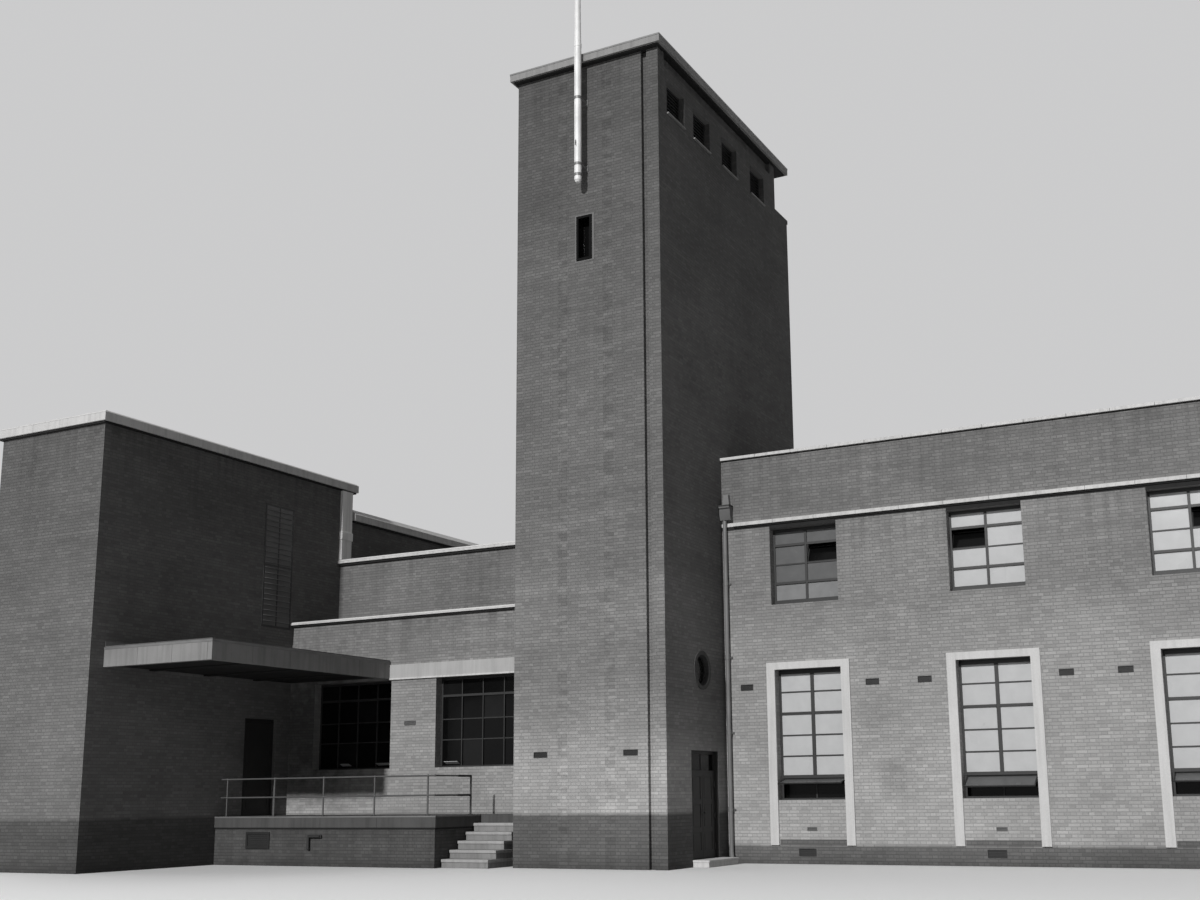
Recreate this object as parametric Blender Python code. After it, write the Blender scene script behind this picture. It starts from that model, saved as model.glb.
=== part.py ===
"""Brick factory: a tall stair tower between two lower wings, with a loading dock at its left side.

Metres, +Z up. The origin is the middle of the tower's plan at ground level, +X runs to the right
along the front and +Y runs back. Every piece hangs from an empty at the tower's front right corner,
so the places below are measured from that corner: x to the right, y back, z up.
"""
import math

import bmesh
import bpy
from mathutils import Matrix

# Tower
TOWER_WIDTH = 4.00
TOWER_DEPTH = 8.47
TOWER_TOP = 19.60
TOWER_STEP_Z = 18.20
TOWER_STEP_DEPTH = 0.92
SLAB_THICKNESS = 0.26
SLAB_FRONT_OVERHANG = 0.20
SLAB_SIDE_OVERHANG = 0.14
SLAB_BACK_OVERHANG = 0.75
SOFFIT_BAND = 0.34
SOFFIT_BAND_DEPTH = 0.12

# Walls and floors
WALL = 0.34
FLOOR = 0.18
ROOF = 0.20
SILL_SET_BACK = 0.10
GLASS = 0.03
GLASS_LAP = 0.10
GAP = 0.0003
CUT_PAST = 0.10

# Recessed strip in the tower's front
GROOVE_LEFT = -0.46
GROOVE_RIGHT = -0.31
GROOVE_DEPTH = 0.12

# Slit opening high in the tower's front
SLIT_LEFT = -2.28
SLIT_RIGHT = -1.85
SLIT_BOTTOM = 14.47
SLIT_TOP = 15.62
SLIT_SURROUND = 0.06
SLIT_SURROUND_OUT = 0.03

# Row of openings under the tower's roof, on its right face
LOUVRE_STARTS = (0.48, 2.01, 3.78, 5.71)
LOUVRE_WIDTH = 1.00
LOUVRE_BOTTOM = 18.05
LOUVRE_TOP = 18.92
TOP_FLOOR_Z = 16.90

# Round window and door on the tower's right face
ROUND_Y = 1.93
ROUND_Z = 4.50
ROUND_RADIUS = 0.46
ROUND_RING = 0.10
ROUND_RING_OUT = 0.03
ROUND_RING_DEPTH = 0.21
DOOR_START = 1.27
DOOR_END = 2.76
DOOR_TOP = 2.62
DOOR_BOTTOM = 0.16
TRANSOM_Z = 2.10
FRAME = 0.07
FRAME_DEPTH = 0.10
DOOR_SET_BACK = 0.10
LEAF = 0.045
LEAF_PLAY = 0.006
HINGE_PIN = 0.008
HINGE_PLAY = 0.0005
HINGE_BARREL = 0.016
HINGE_LENGTH = 0.10
HINGE_STAND_OFF = 0.018
HINGE_TAB = 0.05
HINGE_EAR = 0.02
HINGE_SLACK = 0.003
HINGE_SHARES = (0.13, 0.50, 0.87)
STEP_REACH = 0.40
STEP_PAST_DOOR = 0.15

# Flagpole on the tower's front
POLE_X = -2.06
POLE_STAND_OFF = 0.32
POLE_RADIUS = 0.07
POLE_TIP_RADIUS = 0.045
POLE_FOOT = 16.37
POLE_TOP = 23.20
BRACKET_RISES = (0.19, 2.03)
BRACKET_SIZE = 0.08
BRACKET_RIM = 0.02

# Rear wall of both wings
REAR = 11.70

# Right wing
RIGHT_SET_BACK = 3.29
BAY = 4.40
RIGHT_BAYS = 3
RIGHT_END_PIER = 2.33
RIGHT_PARAPET = 9.82
RIGHT_ROOF_Z = 9.20
COPING = 0.12
COPING_OUT = 0.07
STRING_BOTTOM = 8.10
STRING_HEIGHT = 0.14
STRING_OUT = 0.09
FIRST_WINDOW = 1.31
LOWER_WIDTH = 1.67
LOWER_SILL = 1.47
LOWER_HEAD = 4.54
BORDER_SIDE = 0.21
BORDER_TOP = 0.17
BORDER_OUT = 0.05
BORDER_FOOT = 0.43
UPPER_START = 1.26
UPPER_WIDTH = 1.71
UPPER_SILL = 6.12
UPPER_HEAD = 8.00
FIRST_FLOOR_Z = 5.35
GROUND_FLOOR_Z = 0.60

# Rain pipe in the corner of the tower and the right wing
PIPE_RADIUS = 0.06
PIPE_X = 0.11
HEAD_WIDTH = 0.30
HEAD_BOTTOM = 8.30
HEAD_TOP = 8.65
HEAD_DEPTH = 0.24
OUTLET_TOP = 8.96
OUTLET_DEPTH = 0.12
OUTLET_INSET = 0.05
OUTLET_GAP = 0.02
PIPE_CLEARANCE = 0.03
PIPE_FOOT = 0.02

# Left wing
LEFT_SET_BACK = 2.00
LEFT_END = -12.60
LOW_ROOF_UNDER = 6.33
LOW_ROOF_EDGE = 0.13
EDGE_OUT = 0.12
BIG_WINDOWS = (-11.74, -7.69)
BIG_WIDTH = 2.60
BIG_SILL = 2.38
BIG_HEAD = 4.70
BAND_HEIGHT = 0.40
BAND_OUT = 0.04
UPPER_SET_BACK = 3.92
UPPER_ROOF_UNDER = 8.34
UPPER_ROOF_EDGE = 0.18
DOCK_Z = 1.20

# Left block, with a higher near part and a lower far part
BLOCK_LEFT = -16.20
BLOCK_FRONT = -4.90
NEAR_END = 4.40
NEAR_TOP = 10.60
NEAR_EDGE = 0.30
FAR_TOP = 9.74
FAR_EDGE = 0.40
BLOCK_EDGE_OUT = 0.12
BLOCK_STEP_WALL = 1.36
DOCK_DOOR_START = 0.28
DOCK_DOOR_END = 1.48
DOCK_DOOR_TOP = 3.75
STRIP_START = 3.84
STRIP_END = 4.28
STRIP_OUT = 0.10

# Canopy, dock, stairs and rail
CANOPY_RIGHT = -9.18
CANOPY_FRONT = -4.50
CANOPY_UNDER = 4.73
CANOPY_THICKNESS = 0.50
DOCK_FRONT = -0.62
DOCK_RIGHT = -5.76
DOCK_SLAB = 0.32
DOCK_SLAB_OUT = 0.04
STAIR_RIGHT = -4.42
STAIR_RISERS = 6
STAIR_TOP_Y = 1.27
STAIR_GOING = 0.33
RAIL_HEIGHT = 0.96
RAIL_RADIUS = 0.025
RAIL_POSTS = 5
RAIL_POST = 0.06
RAIL_INSET = 0.08
RAIL_END = 0.20

COLLECTION = "factory_building"


def clear_scene():
    for item in list(bpy.data.objects):
        bpy.data.objects.remove(item, do_unlink=True)
    for item in list(bpy.data.collections):
        bpy.data.collections.remove(item)


def make_material(name, color, roughness, metallic=0.0):
    material = bpy.data.materials.new(name)
    material.use_nodes = True
    shader = material.node_tree.nodes["Principled BSDF"]
    shader.inputs["Base Color"].default_value = (*color, 1.0)
    shader.inputs["Roughness"].default_value = roughness
    shader.inputs["Metallic"].default_value = metallic
    material.diffuse_color = (*color, 1.0)
    return material


clear_scene()
parts = bpy.data.collections.new(COLLECTION)
bpy.context.scene.collection.children.link(parts)
cutters = bpy.data.collections.new("cutters")
bpy.context.scene.collection.children.link(cutters)

corner = bpy.data.objects.new("tower_corner", None)
corner.location = (TOWER_WIDTH / 2, -TOWER_DEPTH / 2, 0.0)
parts.objects.link(corner)

BRICK = make_material("brick", (0.30, 0.29, 0.28), 0.9)
CONCRETE = make_material("concrete", (0.62, 0.61, 0.58), 0.8)
STEEL = make_material("painted_steel", (0.08, 0.08, 0.085), 0.45)
GLAZING = make_material("glazing", (0.05, 0.055, 0.06), 0.1)
ROOFING = make_material("roofing", (0.16, 0.16, 0.16), 0.9)
TIMBER = make_material("painted_timber", (0.10, 0.095, 0.09), 0.6)
ZINC = make_material("zinc", (0.20, 0.20, 0.21), 0.5, 0.6)
WHITE = make_material("white_paint", (0.75, 0.75, 0.73), 0.5)


def place(name, data, material, location=(0, 0, 0), rotation=(0, 0, 0), parent=None):
    """An object in the parts collection, hung from the tower's corner or from another empty."""
    item = bpy.data.objects.new(name, data)
    data.materials.append(material)
    item.location = location
    item.rotation_euler = rotation
    item.parent = parent or corner
    parts.objects.link(item)
    return item


def box_mesh(name, x, y, z):
    mesh = bpy.data.meshes.new(name)
    bm = bmesh.new()
    bmesh.ops.create_cube(bm, size=1.0)
    bmesh.ops.scale(bm, vec=(x[1] - x[0], y[1] - y[0], z[1] - z[0]), verts=bm.verts)
    middle = [(side[0] + side[1]) / 2 for side in (x, y, z)]
    bmesh.ops.translate(bm, vec=middle, verts=bm.verts)
    bm.to_mesh(mesh)
    bm.free()
    return mesh


def box(name, x, y, z, material):
    """A slab or post between two values on each axis."""
    return place(name, box_mesh(name, x, y, z), material)


def cut(item, x, y, z, label):
    """Cuts a box out of a piece."""
    return carve(item, box_mesh("cutter", x, y, z), label)


def combine(item, mesh, label, operation, parent):
    """A Boolean of a piece with a second shape, which is placed as the parent's child."""
    guide = bpy.data.objects.new(f"guide_{item.name}_{label}", mesh)
    guide.parent = parent
    guide.hide_render = True
    guide.display_type = "WIRE"
    cutters.objects.link(guide)
    boolean = item.modifiers.new(label, "BOOLEAN")
    boolean.operation = operation
    boolean.solver = "EXACT"
    boolean.object = guide
    return item


def join(item, mesh, label, parent=None):
    """Joins a second shape to a piece, so that the two are one body."""
    return combine(item, mesh, label, "UNION", parent or corner)


def carve(item, mesh, label, parent=None):
    """Takes a second shape out of a piece."""
    return combine(item, mesh, label, "DIFFERENCE", parent or corner)


def rectangle(across, up):
    return [(across[0], up[0]), (across[1], up[0]), (across[1], up[1]), (across[0], up[1])]


def circle(across, up, radius, sides=32):
    turns = [2 * math.pi * step / sides for step in range(sides)]
    return [(across + radius * math.cos(t), up + radius * math.sin(t)) for t in turns]


def panel(name, outline, holes, near, far, material, faces="front"):
    """A flat piece cut from its outline, with holes, between two depths.

    A front panel lies across x and up z, from y = near to y = far. A side panel lies along y and
    up z, from x = near to x = far. A floor panel lies across x and along y, from z = near to far.
    """
    curve = bpy.data.curves.new(name, "CURVE")
    curve.dimensions = "2D"
    curve.fill_mode = "BOTH"
    curve.extrude = abs(far - near) / 2
    for points in [outline, *holes]:
        spline = curve.splines.new("POLY")
        spline.points.add(len(points) - 1)
        for point, (across, up) in zip(spline.points, points):
            point.co = (across, up, 0.0, 1.0)
        spline.use_cyclic_u = True
    middle = (near + far) / 2
    if faces == "front":
        return place(name, curve, material, (0, middle, 0), (math.pi / 2, 0, 0))
    if faces == "side":
        return place(name, curve, material, (middle, 0, 0), (math.pi / 2, 0, math.pi / 2))
    return place(name, curve, material, (0, 0, middle))


def frame_panel(name, across, up, border, near, far, material, faces="front"):
    """A rectangular frame round an opening."""
    inner = rectangle((across[0] + border, across[1] - border), (up[0] + border, up[1] - border))
    return panel(name, rectangle(across, up), [inner], near, far, material, faces)


def disc_mesh(radius, near, far, sides=32):
    """A round plug along x."""
    mesh = bpy.data.meshes.new("disc")
    bm = bmesh.new()
    bmesh.ops.create_cone(
        bm, cap_ends=True, segments=sides, radius1=radius, radius2=radius, depth=far - near
    )
    bmesh.ops.rotate(bm, matrix=Matrix.Rotation(math.pi / 2, 3, "Y"), verts=bm.verts)
    bmesh.ops.translate(bm, vec=((near + far) / 2, 0, 0), verts=bm.verts)
    bm.to_mesh(mesh)
    bm.free()
    return mesh


def build_tower():
    left = -TOWER_WIDTH
    back = TOWER_DEPTH
    upper_back = TOWER_DEPTH - TOWER_STEP_DEPTH

    front = panel(
        "tower_front_wall",
        rectangle((left, 0), (0, TOWER_TOP)),
        [rectangle((SLIT_LEFT, SLIT_RIGHT), (SLIT_BOTTOM, SLIT_TOP))],
        0,
        WALL,
        BRICK,
    )
    front = as_mesh(front)
    groove_height = (-CUT_PAST, TOWER_TOP + CUT_PAST)
    cut(front, (GROOVE_LEFT, GROOVE_RIGHT), (-CUT_PAST, GROOVE_DEPTH), groove_height, "groove")

    side_start = WALL + GAP
    panel(
        "tower_right_wall_front_pier",
        rectangle((side_start, DOOR_START), (0, DOOR_TOP)),
        [],
        -WALL,
        0,
        BRICK,
        "side",
    )
    panel(
        "tower_right_wall_low",
        rectangle((DOOR_END, back - side_start), (0, DOOR_TOP)),
        [],
        -WALL,
        0,
        BRICK,
        "side",
    )
    right = box(
        "tower_right_wall",
        (-WALL, 0),
        (side_start, back - side_start),
        (DOOR_TOP + GAP, TOWER_TOP),
        BRICK,
    )
    through = (-WALL - CUT_PAST, CUT_PAST)
    for number, start in enumerate(LOUVRE_STARTS, 1):
        opening = (start, start + LOUVRE_WIDTH)
        cut(right, through, opening, (LOUVRE_BOTTOM, LOUVRE_TOP), f"louvre_{number}")
    above = TOWER_TOP + CUT_PAST
    cut(right, through, (upper_back - side_start, back), (TOWER_STEP_Z, above), "step")
    band = (TOWER_TOP - SOFFIT_BAND, above)
    cut(right, (-SOFFIT_BAND_DEPTH, CUT_PAST), (0, back), band, "soffit_band")
    cutter = disc_mesh(ROUND_RADIUS, *through)
    cutter.transform(Matrix.Translation((0, ROUND_Y, ROUND_Z)))
    carve(right, cutter, "round")
    stepped = [
        (side_start, 0),
        (back - side_start, 0),
        (back - side_start, TOWER_STEP_Z),
        (upper_back - side_start, TOWER_STEP_Z),
        (upper_back - side_start, TOWER_TOP),
        (side_start, TOWER_TOP),
    ]
    panel("tower_left_wall", stepped, [], left, left + WALL, BRICK, "side")

    box("tower_rear_wall", (left, 0), (back - WALL, back), (0, TOWER_STEP_Z), BRICK)
    step_profile = [
        (upper_back - WALL, TOWER_STEP_Z + GAP),
        (back + COPING_OUT, TOWER_STEP_Z + GAP),
        (back + COPING_OUT, TOWER_STEP_Z + COPING),
        (upper_back, TOWER_STEP_Z + COPING),
        (upper_back, TOWER_TOP),
        (upper_back - WALL, TOWER_TOP),
    ]
    panel("tower_rear_wall_top", step_profile, [], left, 0, CONCRETE, "side")
    box(
        "tower_roof_slab",
        (left - SLAB_SIDE_OVERHANG, SLAB_SIDE_OVERHANG),
        (-SLAB_FRONT_OVERHANG, upper_back + SLAB_BACK_OVERHANG),
        (TOWER_TOP + GAP, TOWER_TOP + SLAB_THICKNESS),
        CONCRETE,
    )
    inside_x = (left + WALL + GAP, -WALL - GAP)
    inside_y = (WALL + GAP, back - WALL - GAP)
    inner = -WALL - GAP
    floor = [
        (inside_x[0], inside_y[0]),
        (inner, inside_y[0]),
        (inner, DOOR_START + GAP),
        (0, DOOR_START + GAP),
        (0, DOOR_END - GAP),
        (inner, DOOR_END - GAP),
        (inner, inside_y[1]),
        (inside_x[0], inside_y[1]),
    ]
    panel("tower_floor", floor, [], 0, DOOR_BOTTOM - GAP, CONCRETE, "floor")
    box("tower_top_floor", inside_x, inside_y, (TOP_FLOOR_Z - FLOOR, TOP_FLOOR_Z), CONCRETE)

    frame_panel(
        "slit_surround",
        (SLIT_LEFT + GAP, SLIT_RIGHT - GAP),
        (SLIT_BOTTOM + GAP, SLIT_TOP - GAP),
        SLIT_SURROUND,
        -SLIT_SURROUND_OUT,
        WALL,
        CONCRETE,
    )
    slit_inset = SLIT_SURROUND + 2 * GAP
    box(
        "slit_glass",
        (SLIT_LEFT + slit_inset, SLIT_RIGHT - slit_inset),
        (SILL_SET_BACK, SILL_SET_BACK + GLASS),
        (SLIT_BOTTOM + slit_inset, SLIT_TOP - slit_inset),
        GLAZING,
    )
    panel(
        "round_window_ring",
        circle(ROUND_Y, ROUND_Z, ROUND_RADIUS - GAP),
        [circle(ROUND_Y, ROUND_Z, ROUND_RADIUS - ROUND_RING)],
        ROUND_RING_OUT - ROUND_RING_DEPTH,
        ROUND_RING_OUT,
        CONCRETE,
        "side",
    )
    panel(
        "round_window_glass",
        circle(ROUND_Y, ROUND_Z, ROUND_RADIUS - ROUND_RING - GAP),
        [],
        -SILL_SET_BACK - GLASS,
        -SILL_SET_BACK,
        GLAZING,
        "side",
    )
    box(
        "tower_top_glass",
        (-WALL - GAP - GLASS, -WALL - GAP),
        (LOUVRE_STARTS[0] - GLASS_LAP, upper_back - WALL - GLASS_LAP),
        (LOUVRE_BOTTOM - GLASS_LAP, LOUVRE_TOP + GLASS_LAP),
        GLAZING,
    )


def as_mesh(item):
    """The piece as a closed mesh, so that it can be cut."""
    evaluated = item.evaluated_get(bpy.context.evaluated_depsgraph_get())
    mesh = bpy.data.meshes.new_from_object(evaluated)
    bm = bmesh.new()
    bm.from_mesh(mesh)
    bmesh.ops.remove_doubles(bm, verts=bm.verts, dist=0.00001)
    bm.to_mesh(mesh)
    bm.free()
    name = item.name
    material = item.data.materials[0]
    location = item.location.copy()
    rotation = item.rotation_euler.copy()
    bpy.data.objects.remove(item, do_unlink=True)
    mesh.materials.clear()
    return place(name, mesh, material, location, rotation)


def build_door(name, wall_x, across, bottom, top, leaves, transom=None):
    """A door in a wall that faces +x: its frame, with a fanlight over a transom, and its leaves.

    Each leaf is a label and the way that it runs from its hinge: 1 towards +y, -1 towards -y.
    """
    outer = wall_x - DOOR_SET_BACK
    inner = outer - FRAME_DEPTH
    start, end = across
    clear = (start + FRAME, end - FRAME)
    head = transom or top - FRAME
    sides = (start + GAP, end - GAP)
    frame = box(f"{name}_frame", (inner, outer), sides, (bottom, top - GAP), TIMBER)
    past = (inner - CUT_PAST, outer + CUT_PAST)
    cut(frame, past, clear, (bottom - CUT_PAST, head), "doorway")
    if transom:
        light = (transom + FRAME, top - FRAME)
        middle = (inner + outer) / 2
        cut(frame, (past[0], middle - GLASS / 2), clear, light, "light_inside")
        cut(frame, (middle + GLASS / 2, past[1]), clear, light, "light_outside")

    leaf_bottom = bottom + LEAF_PLAY
    leaf_height = head - LEAF_PLAY - leaf_bottom
    leaf_width = (clear[1] - clear[0] - (len(leaves) + 1) * LEAF_PLAY) / len(leaves)
    for label, way in leaves:
        jamb = clear[0] if way > 0 else clear[1]
        hinge = bpy.data.objects.new(f"{label}_hinge", None)
        hinge.location = (outer + HINGE_STAND_OFF, jamb + way * LEAF_PLAY / 2, leaf_bottom)
        hinge.parent = corner
        parts.objects.link(hinge)
        edge = way * LEAF_PLAY / 2
        width = sorted((edge, edge + way * leaf_width))
        depth = (-HINGE_STAND_OFF - LEAF, -HINGE_STAND_OFF)
        leaf = place(label, box_mesh(label, depth, width, (0, leaf_height)), TIMBER, parent=hinge)
        for share in HINGE_SHARES:
            add_hinge(leaf, frame, hinge, share * leaf_height, way)


def build_tower_door():
    across = (DOOR_START, DOOR_END)
    leaves = (("door_leaf_front", 1), ("door_leaf_rear", -1))
    build_door("door", 0, across, DOOR_BOTTOM, DOOR_TOP, leaves, TRANSOM_Z)
    step = (DOOR_START, DOOR_END + STEP_PAST_DOOR)
    box("door_step", (GAP, STEP_REACH), step, (0, DOOR_BOTTOM), CONCRETE)


def rod_mesh(radius, bottom, top, tip_radius=None, sides=16):
    """An upright rod on the local Z axis, with a narrower top where a tip radius is given."""
    mesh = bpy.data.meshes.new("rod")
    bm = bmesh.new()
    tip = tip_radius or radius
    bmesh.ops.create_cone(
        bm, cap_ends=True, segments=sides, radius1=radius, radius2=tip, depth=top - bottom
    )
    bmesh.ops.translate(bm, vec=(0, 0, (top + bottom) / 2), verts=bm.verts)
    bm.to_mesh(mesh)
    bm.free()
    return mesh


def add_hinge(leaf, frame, hinge, height, way):
    """One butt hinge: a barrel on the leaf turns round a pin that two ears on the frame hold."""
    half = HINGE_LENGTH / 2
    label = f"{height:.2f}"
    depth = (-HINGE_STAND_OFF - 0.01, 0)
    barrel = (height - half, height + half)
    join(leaf, rod_mesh(HINGE_BARREL, *barrel), f"barrel_{label}", hinge)
    tab = sorted((way * LEAF_PLAY / 2, way * HINGE_TAB))
    join(leaf, box_mesh("tab", depth, tab, barrel), f"tab_{label}", hinge)
    bore = rod_mesh(HINGE_PIN + HINGE_PLAY, height - 2 * half, height + 2 * half)
    carve(leaf, bore, f"bore_{label}", hinge)

    ear = sorted((-way * LEAF_PLAY / 2, -way * HINGE_TAB))
    low = height - half - HINGE_SLACK - HINGE_EAR
    high = height + half + HINGE_SLACK
    for side, bottom in (("low", low), ("high", high)):
        shape = box_mesh("ear", depth, ear, (bottom, bottom + HINGE_EAR))
        join(frame, shape, f"{side}_ear_{way}_{label}", hinge)
    pin = rod_mesh(HINGE_PIN, low + HINGE_EAR / 2, high + HINGE_EAR / 2)
    join(frame, pin, f"pin_{way}_{label}", hinge)


def build_flagpole():
    mesh = rod_mesh(POLE_RADIUS, POLE_FOOT, POLE_TOP, POLE_TIP_RADIUS)
    pole = place("flagpole", mesh, WHITE, (POLE_X, -POLE_STAND_OFF, 0))
    reach = POLE_RADIUS + BRACKET_RIM
    across = (POLE_X - reach, POLE_X + reach)
    depth = (-POLE_STAND_OFF - reach, -GAP)
    for number, rise in enumerate(BRACKET_RISES, 1):
        height = POLE_FOOT + rise
        up = (height - BRACKET_SIZE / 2, height + BRACKET_SIZE / 2)
        join(pole, box_mesh("bracket", across, depth, up), f"bracket_{number}")


def build_right_wing():
    front = RIGHT_SET_BACK
    back = REAR
    start = GAP
    bays = [number * BAY for number in range(RIGHT_BAYS)]
    last_window = bays[-1] + FIRST_WINDOW + LOWER_WIDTH
    end = last_window + RIGHT_END_PIER
    lower = [
        rectangle((bay + FIRST_WINDOW, bay + FIRST_WINDOW + LOWER_WIDTH), (LOWER_SILL, LOWER_HEAD))
        for bay in bays
    ]
    upper = [
        rectangle((bay + UPPER_START, bay + UPPER_START + UPPER_WIDTH), (UPPER_SILL, UPPER_HEAD))
        for bay in bays
    ]
    panel(
        "right_front_wall",
        rectangle((start, end), (0, RIGHT_PARAPET)),
        [*lower, *upper],
        front,
        front + WALL,
        BRICK,
    )
    panel(
        "right_rear_wall",
        rectangle((start, end), (0, RIGHT_PARAPET)),
        [*lower, *upper],
        back - WALL,
        back,
        BRICK,
    )
    box(
        "right_end_wall",
        (end - WALL, end),
        (front + WALL + GAP, back - WALL - GAP),
        (0, RIGHT_PARAPET),
        BRICK,
    )
    box(
        "right_inner_wall",
        (start, start + WALL),
        (TOWER_DEPTH + GAP, back - WALL - GLASS - 4 * GAP),
        (0, RIGHT_PARAPET),
        BRICK,
    )
    inside_x = (start + WALL + GAP, end - WALL - GAP)
    inside_y = (front + WALL + GAP, back - WALL - GAP)
    box("right_ground_floor", inside_x, inside_y, (0, GROUND_FLOOR_Z), CONCRETE)
    box("right_first_floor", inside_x, inside_y, (FIRST_FLOOR_Z - FLOOR, FIRST_FLOOR_Z), CONCRETE)
    box("right_roof", inside_x, inside_y, (RIGHT_ROOF_Z - ROOF, RIGHT_ROOF_Z), ROOFING)
    rim = WALL + COPING_OUT
    panel(
        "right_coping",
        rectangle((start, end + COPING_OUT), (front - COPING_OUT, back + COPING_OUT)),
        [rectangle((start + WALL, end - rim), (front + rim, back - rim))],
        RIGHT_PARAPET + GAP,
        RIGHT_PARAPET + COPING,
        CONCRETE,
        "floor",
    )
    box(
        "right_string_course",
        (start + HEAD_WIDTH + OUTLET_GAP, end),
        (front - STRING_OUT, front - GAP),
        (STRING_BOTTOM, STRING_BOTTOM + STRING_HEIGHT),
        CONCRETE,
    )
    for number, bay in enumerate(bays, 1):
        left = bay + FIRST_WINDOW
        right = left + LOWER_WIDTH
        outline = [
            (left - BORDER_SIDE, BORDER_FOOT),
            (left, BORDER_FOOT),
            (left, LOWER_HEAD),
            (right, LOWER_HEAD),
            (right, BORDER_FOOT),
            (right + BORDER_SIDE, BORDER_FOOT),
            (right + BORDER_SIDE, LOWER_HEAD + BORDER_TOP),
            (left - BORDER_SIDE, LOWER_HEAD + BORDER_TOP),
        ]
        panel(
            f"right_window_surround_{number}",
            outline,
            [],
            front - BORDER_OUT,
            front - GAP,
            CONCRETE,
        )
    lower_row = (bays[0] + FIRST_WINDOW, last_window)
    upper_row = (bays[0] + UPPER_START, bays[-1] + UPPER_START + UPPER_WIDTH)
    rear_row = (BIG_WINDOWS[0], last_window)
    behind = back - WALL - GLASS - 2 * GAP
    glass_sheet("right_lower_glass", lower_row, front + WALL, (LOWER_SILL, LOWER_HEAD))
    glass_sheet("right_upper_glass", upper_row, front + WALL, (UPPER_SILL, UPPER_HEAD))
    glass_sheet("rear_lower_glass", rear_row, behind, (LOWER_SILL, BIG_HEAD))
    glass_sheet("rear_upper_glass", upper_row, behind, (UPPER_SILL, UPPER_HEAD))


def build_rain_pipe():
    front = RIGHT_SET_BACK
    wall = front - GAP
    head_x = (GAP, HEAD_WIDTH)
    head = box("rainwater_head", head_x, (front - HEAD_DEPTH, wall), (HEAD_BOTTOM, HEAD_TOP), ZINC)
    outlet = box_mesh(
        "outlet",
        (OUTLET_INSET, HEAD_WIDTH - OUTLET_INSET),
        (front - OUTLET_DEPTH, wall),
        (HEAD_TOP - OUTLET_DEPTH, OUTLET_TOP),
    )
    join(head, outlet, "outlet")
    axis_y = front - PIPE_RADIUS - PIPE_CLEARANCE
    pipe = rod_mesh(PIPE_RADIUS, PIPE_FOOT, HEAD_BOTTOM - GAP)
    place("rain_pipe", pipe, ZINC, (PIPE_X, axis_y, 0))


def glass_sheet(name, across, near, up):
    """One sheet of glass behind a row of windows."""
    box(
        name,
        (across[0] - GLASS_LAP, across[1] + GLASS_LAP),
        (near + GAP, near + GLASS + GAP),
        (up[0] - GLASS_LAP, up[1] + GLASS_LAP),
        GLAZING,
    )


def build_left_wing():
    front = LEFT_SET_BACK
    back = REAR
    left = LEFT_END + GAP
    right = -TOWER_WIDTH - GAP
    behind_tower = TOWER_DEPTH + GAP
    windows = [rectangle((start, start + BIG_WIDTH), (BIG_SILL, BIG_HEAD)) for start in BIG_WINDOWS]
    panel(
        "left_front_wall",
        rectangle((left, right), (0, LOW_ROOF_UNDER)),
        windows,
        front,
        front + WALL,
        BRICK,
    )
    box(
        "left_lintel_band",
        (CANOPY_RIGHT + GAP, right),
        (front - BAND_OUT, front - GAP),
        (BIG_HEAD, BIG_HEAD + BAND_HEIGHT),
        CONCRETE,
    )
    box(
        "left_low_roof",
        (left, right),
        (front - EDGE_OUT, UPPER_SET_BACK + WALL),
        (LOW_ROOF_UNDER + GAP, LOW_ROOF_UNDER + LOW_ROOF_EDGE),
        CONCRETE,
    )
    box(
        "left_upper_wall",
        (left, right),
        (UPPER_SET_BACK, UPPER_SET_BACK + WALL),
        (LOW_ROOF_UNDER + LOW_ROOF_EDGE + GAP, UPPER_ROOF_UNDER),
        BRICK,
    )
    panel(
        "left_rear_wall",
        rectangle((left, -GAP), (0, UPPER_ROOF_UNDER)),
        windows,
        back - WALL,
        back,
        BRICK,
    )
    roof = [
        (left, UPPER_SET_BACK - EDGE_OUT),
        (right, UPPER_SET_BACK - EDGE_OUT),
        (right, behind_tower),
        (-GAP, behind_tower),
        (-GAP, back + EDGE_OUT),
        (left, back + EDGE_OUT),
    ]
    panel(
        "left_upper_roof",
        roof,
        [],
        UPPER_ROOF_UNDER + GAP,
        UPPER_ROOF_UNDER + UPPER_ROOF_EDGE,
        CONCRETE,
        "floor",
    )
    floor = [
        (left, front + WALL + GAP),
        (right, front + WALL + GAP),
        (right, behind_tower),
        (-GAP, behind_tower),
        (-GAP, back - WALL - GAP),
        (left, back - WALL - GAP),
    ]
    panel("left_floor", floor, [], 0, DOCK_Z, CONCRETE, "floor")
    row = (BIG_WINDOWS[0], BIG_WINDOWS[-1] + BIG_WIDTH)
    glass_sheet("left_front_glass", row, front + WALL, (BIG_SILL, BIG_HEAD))


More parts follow.
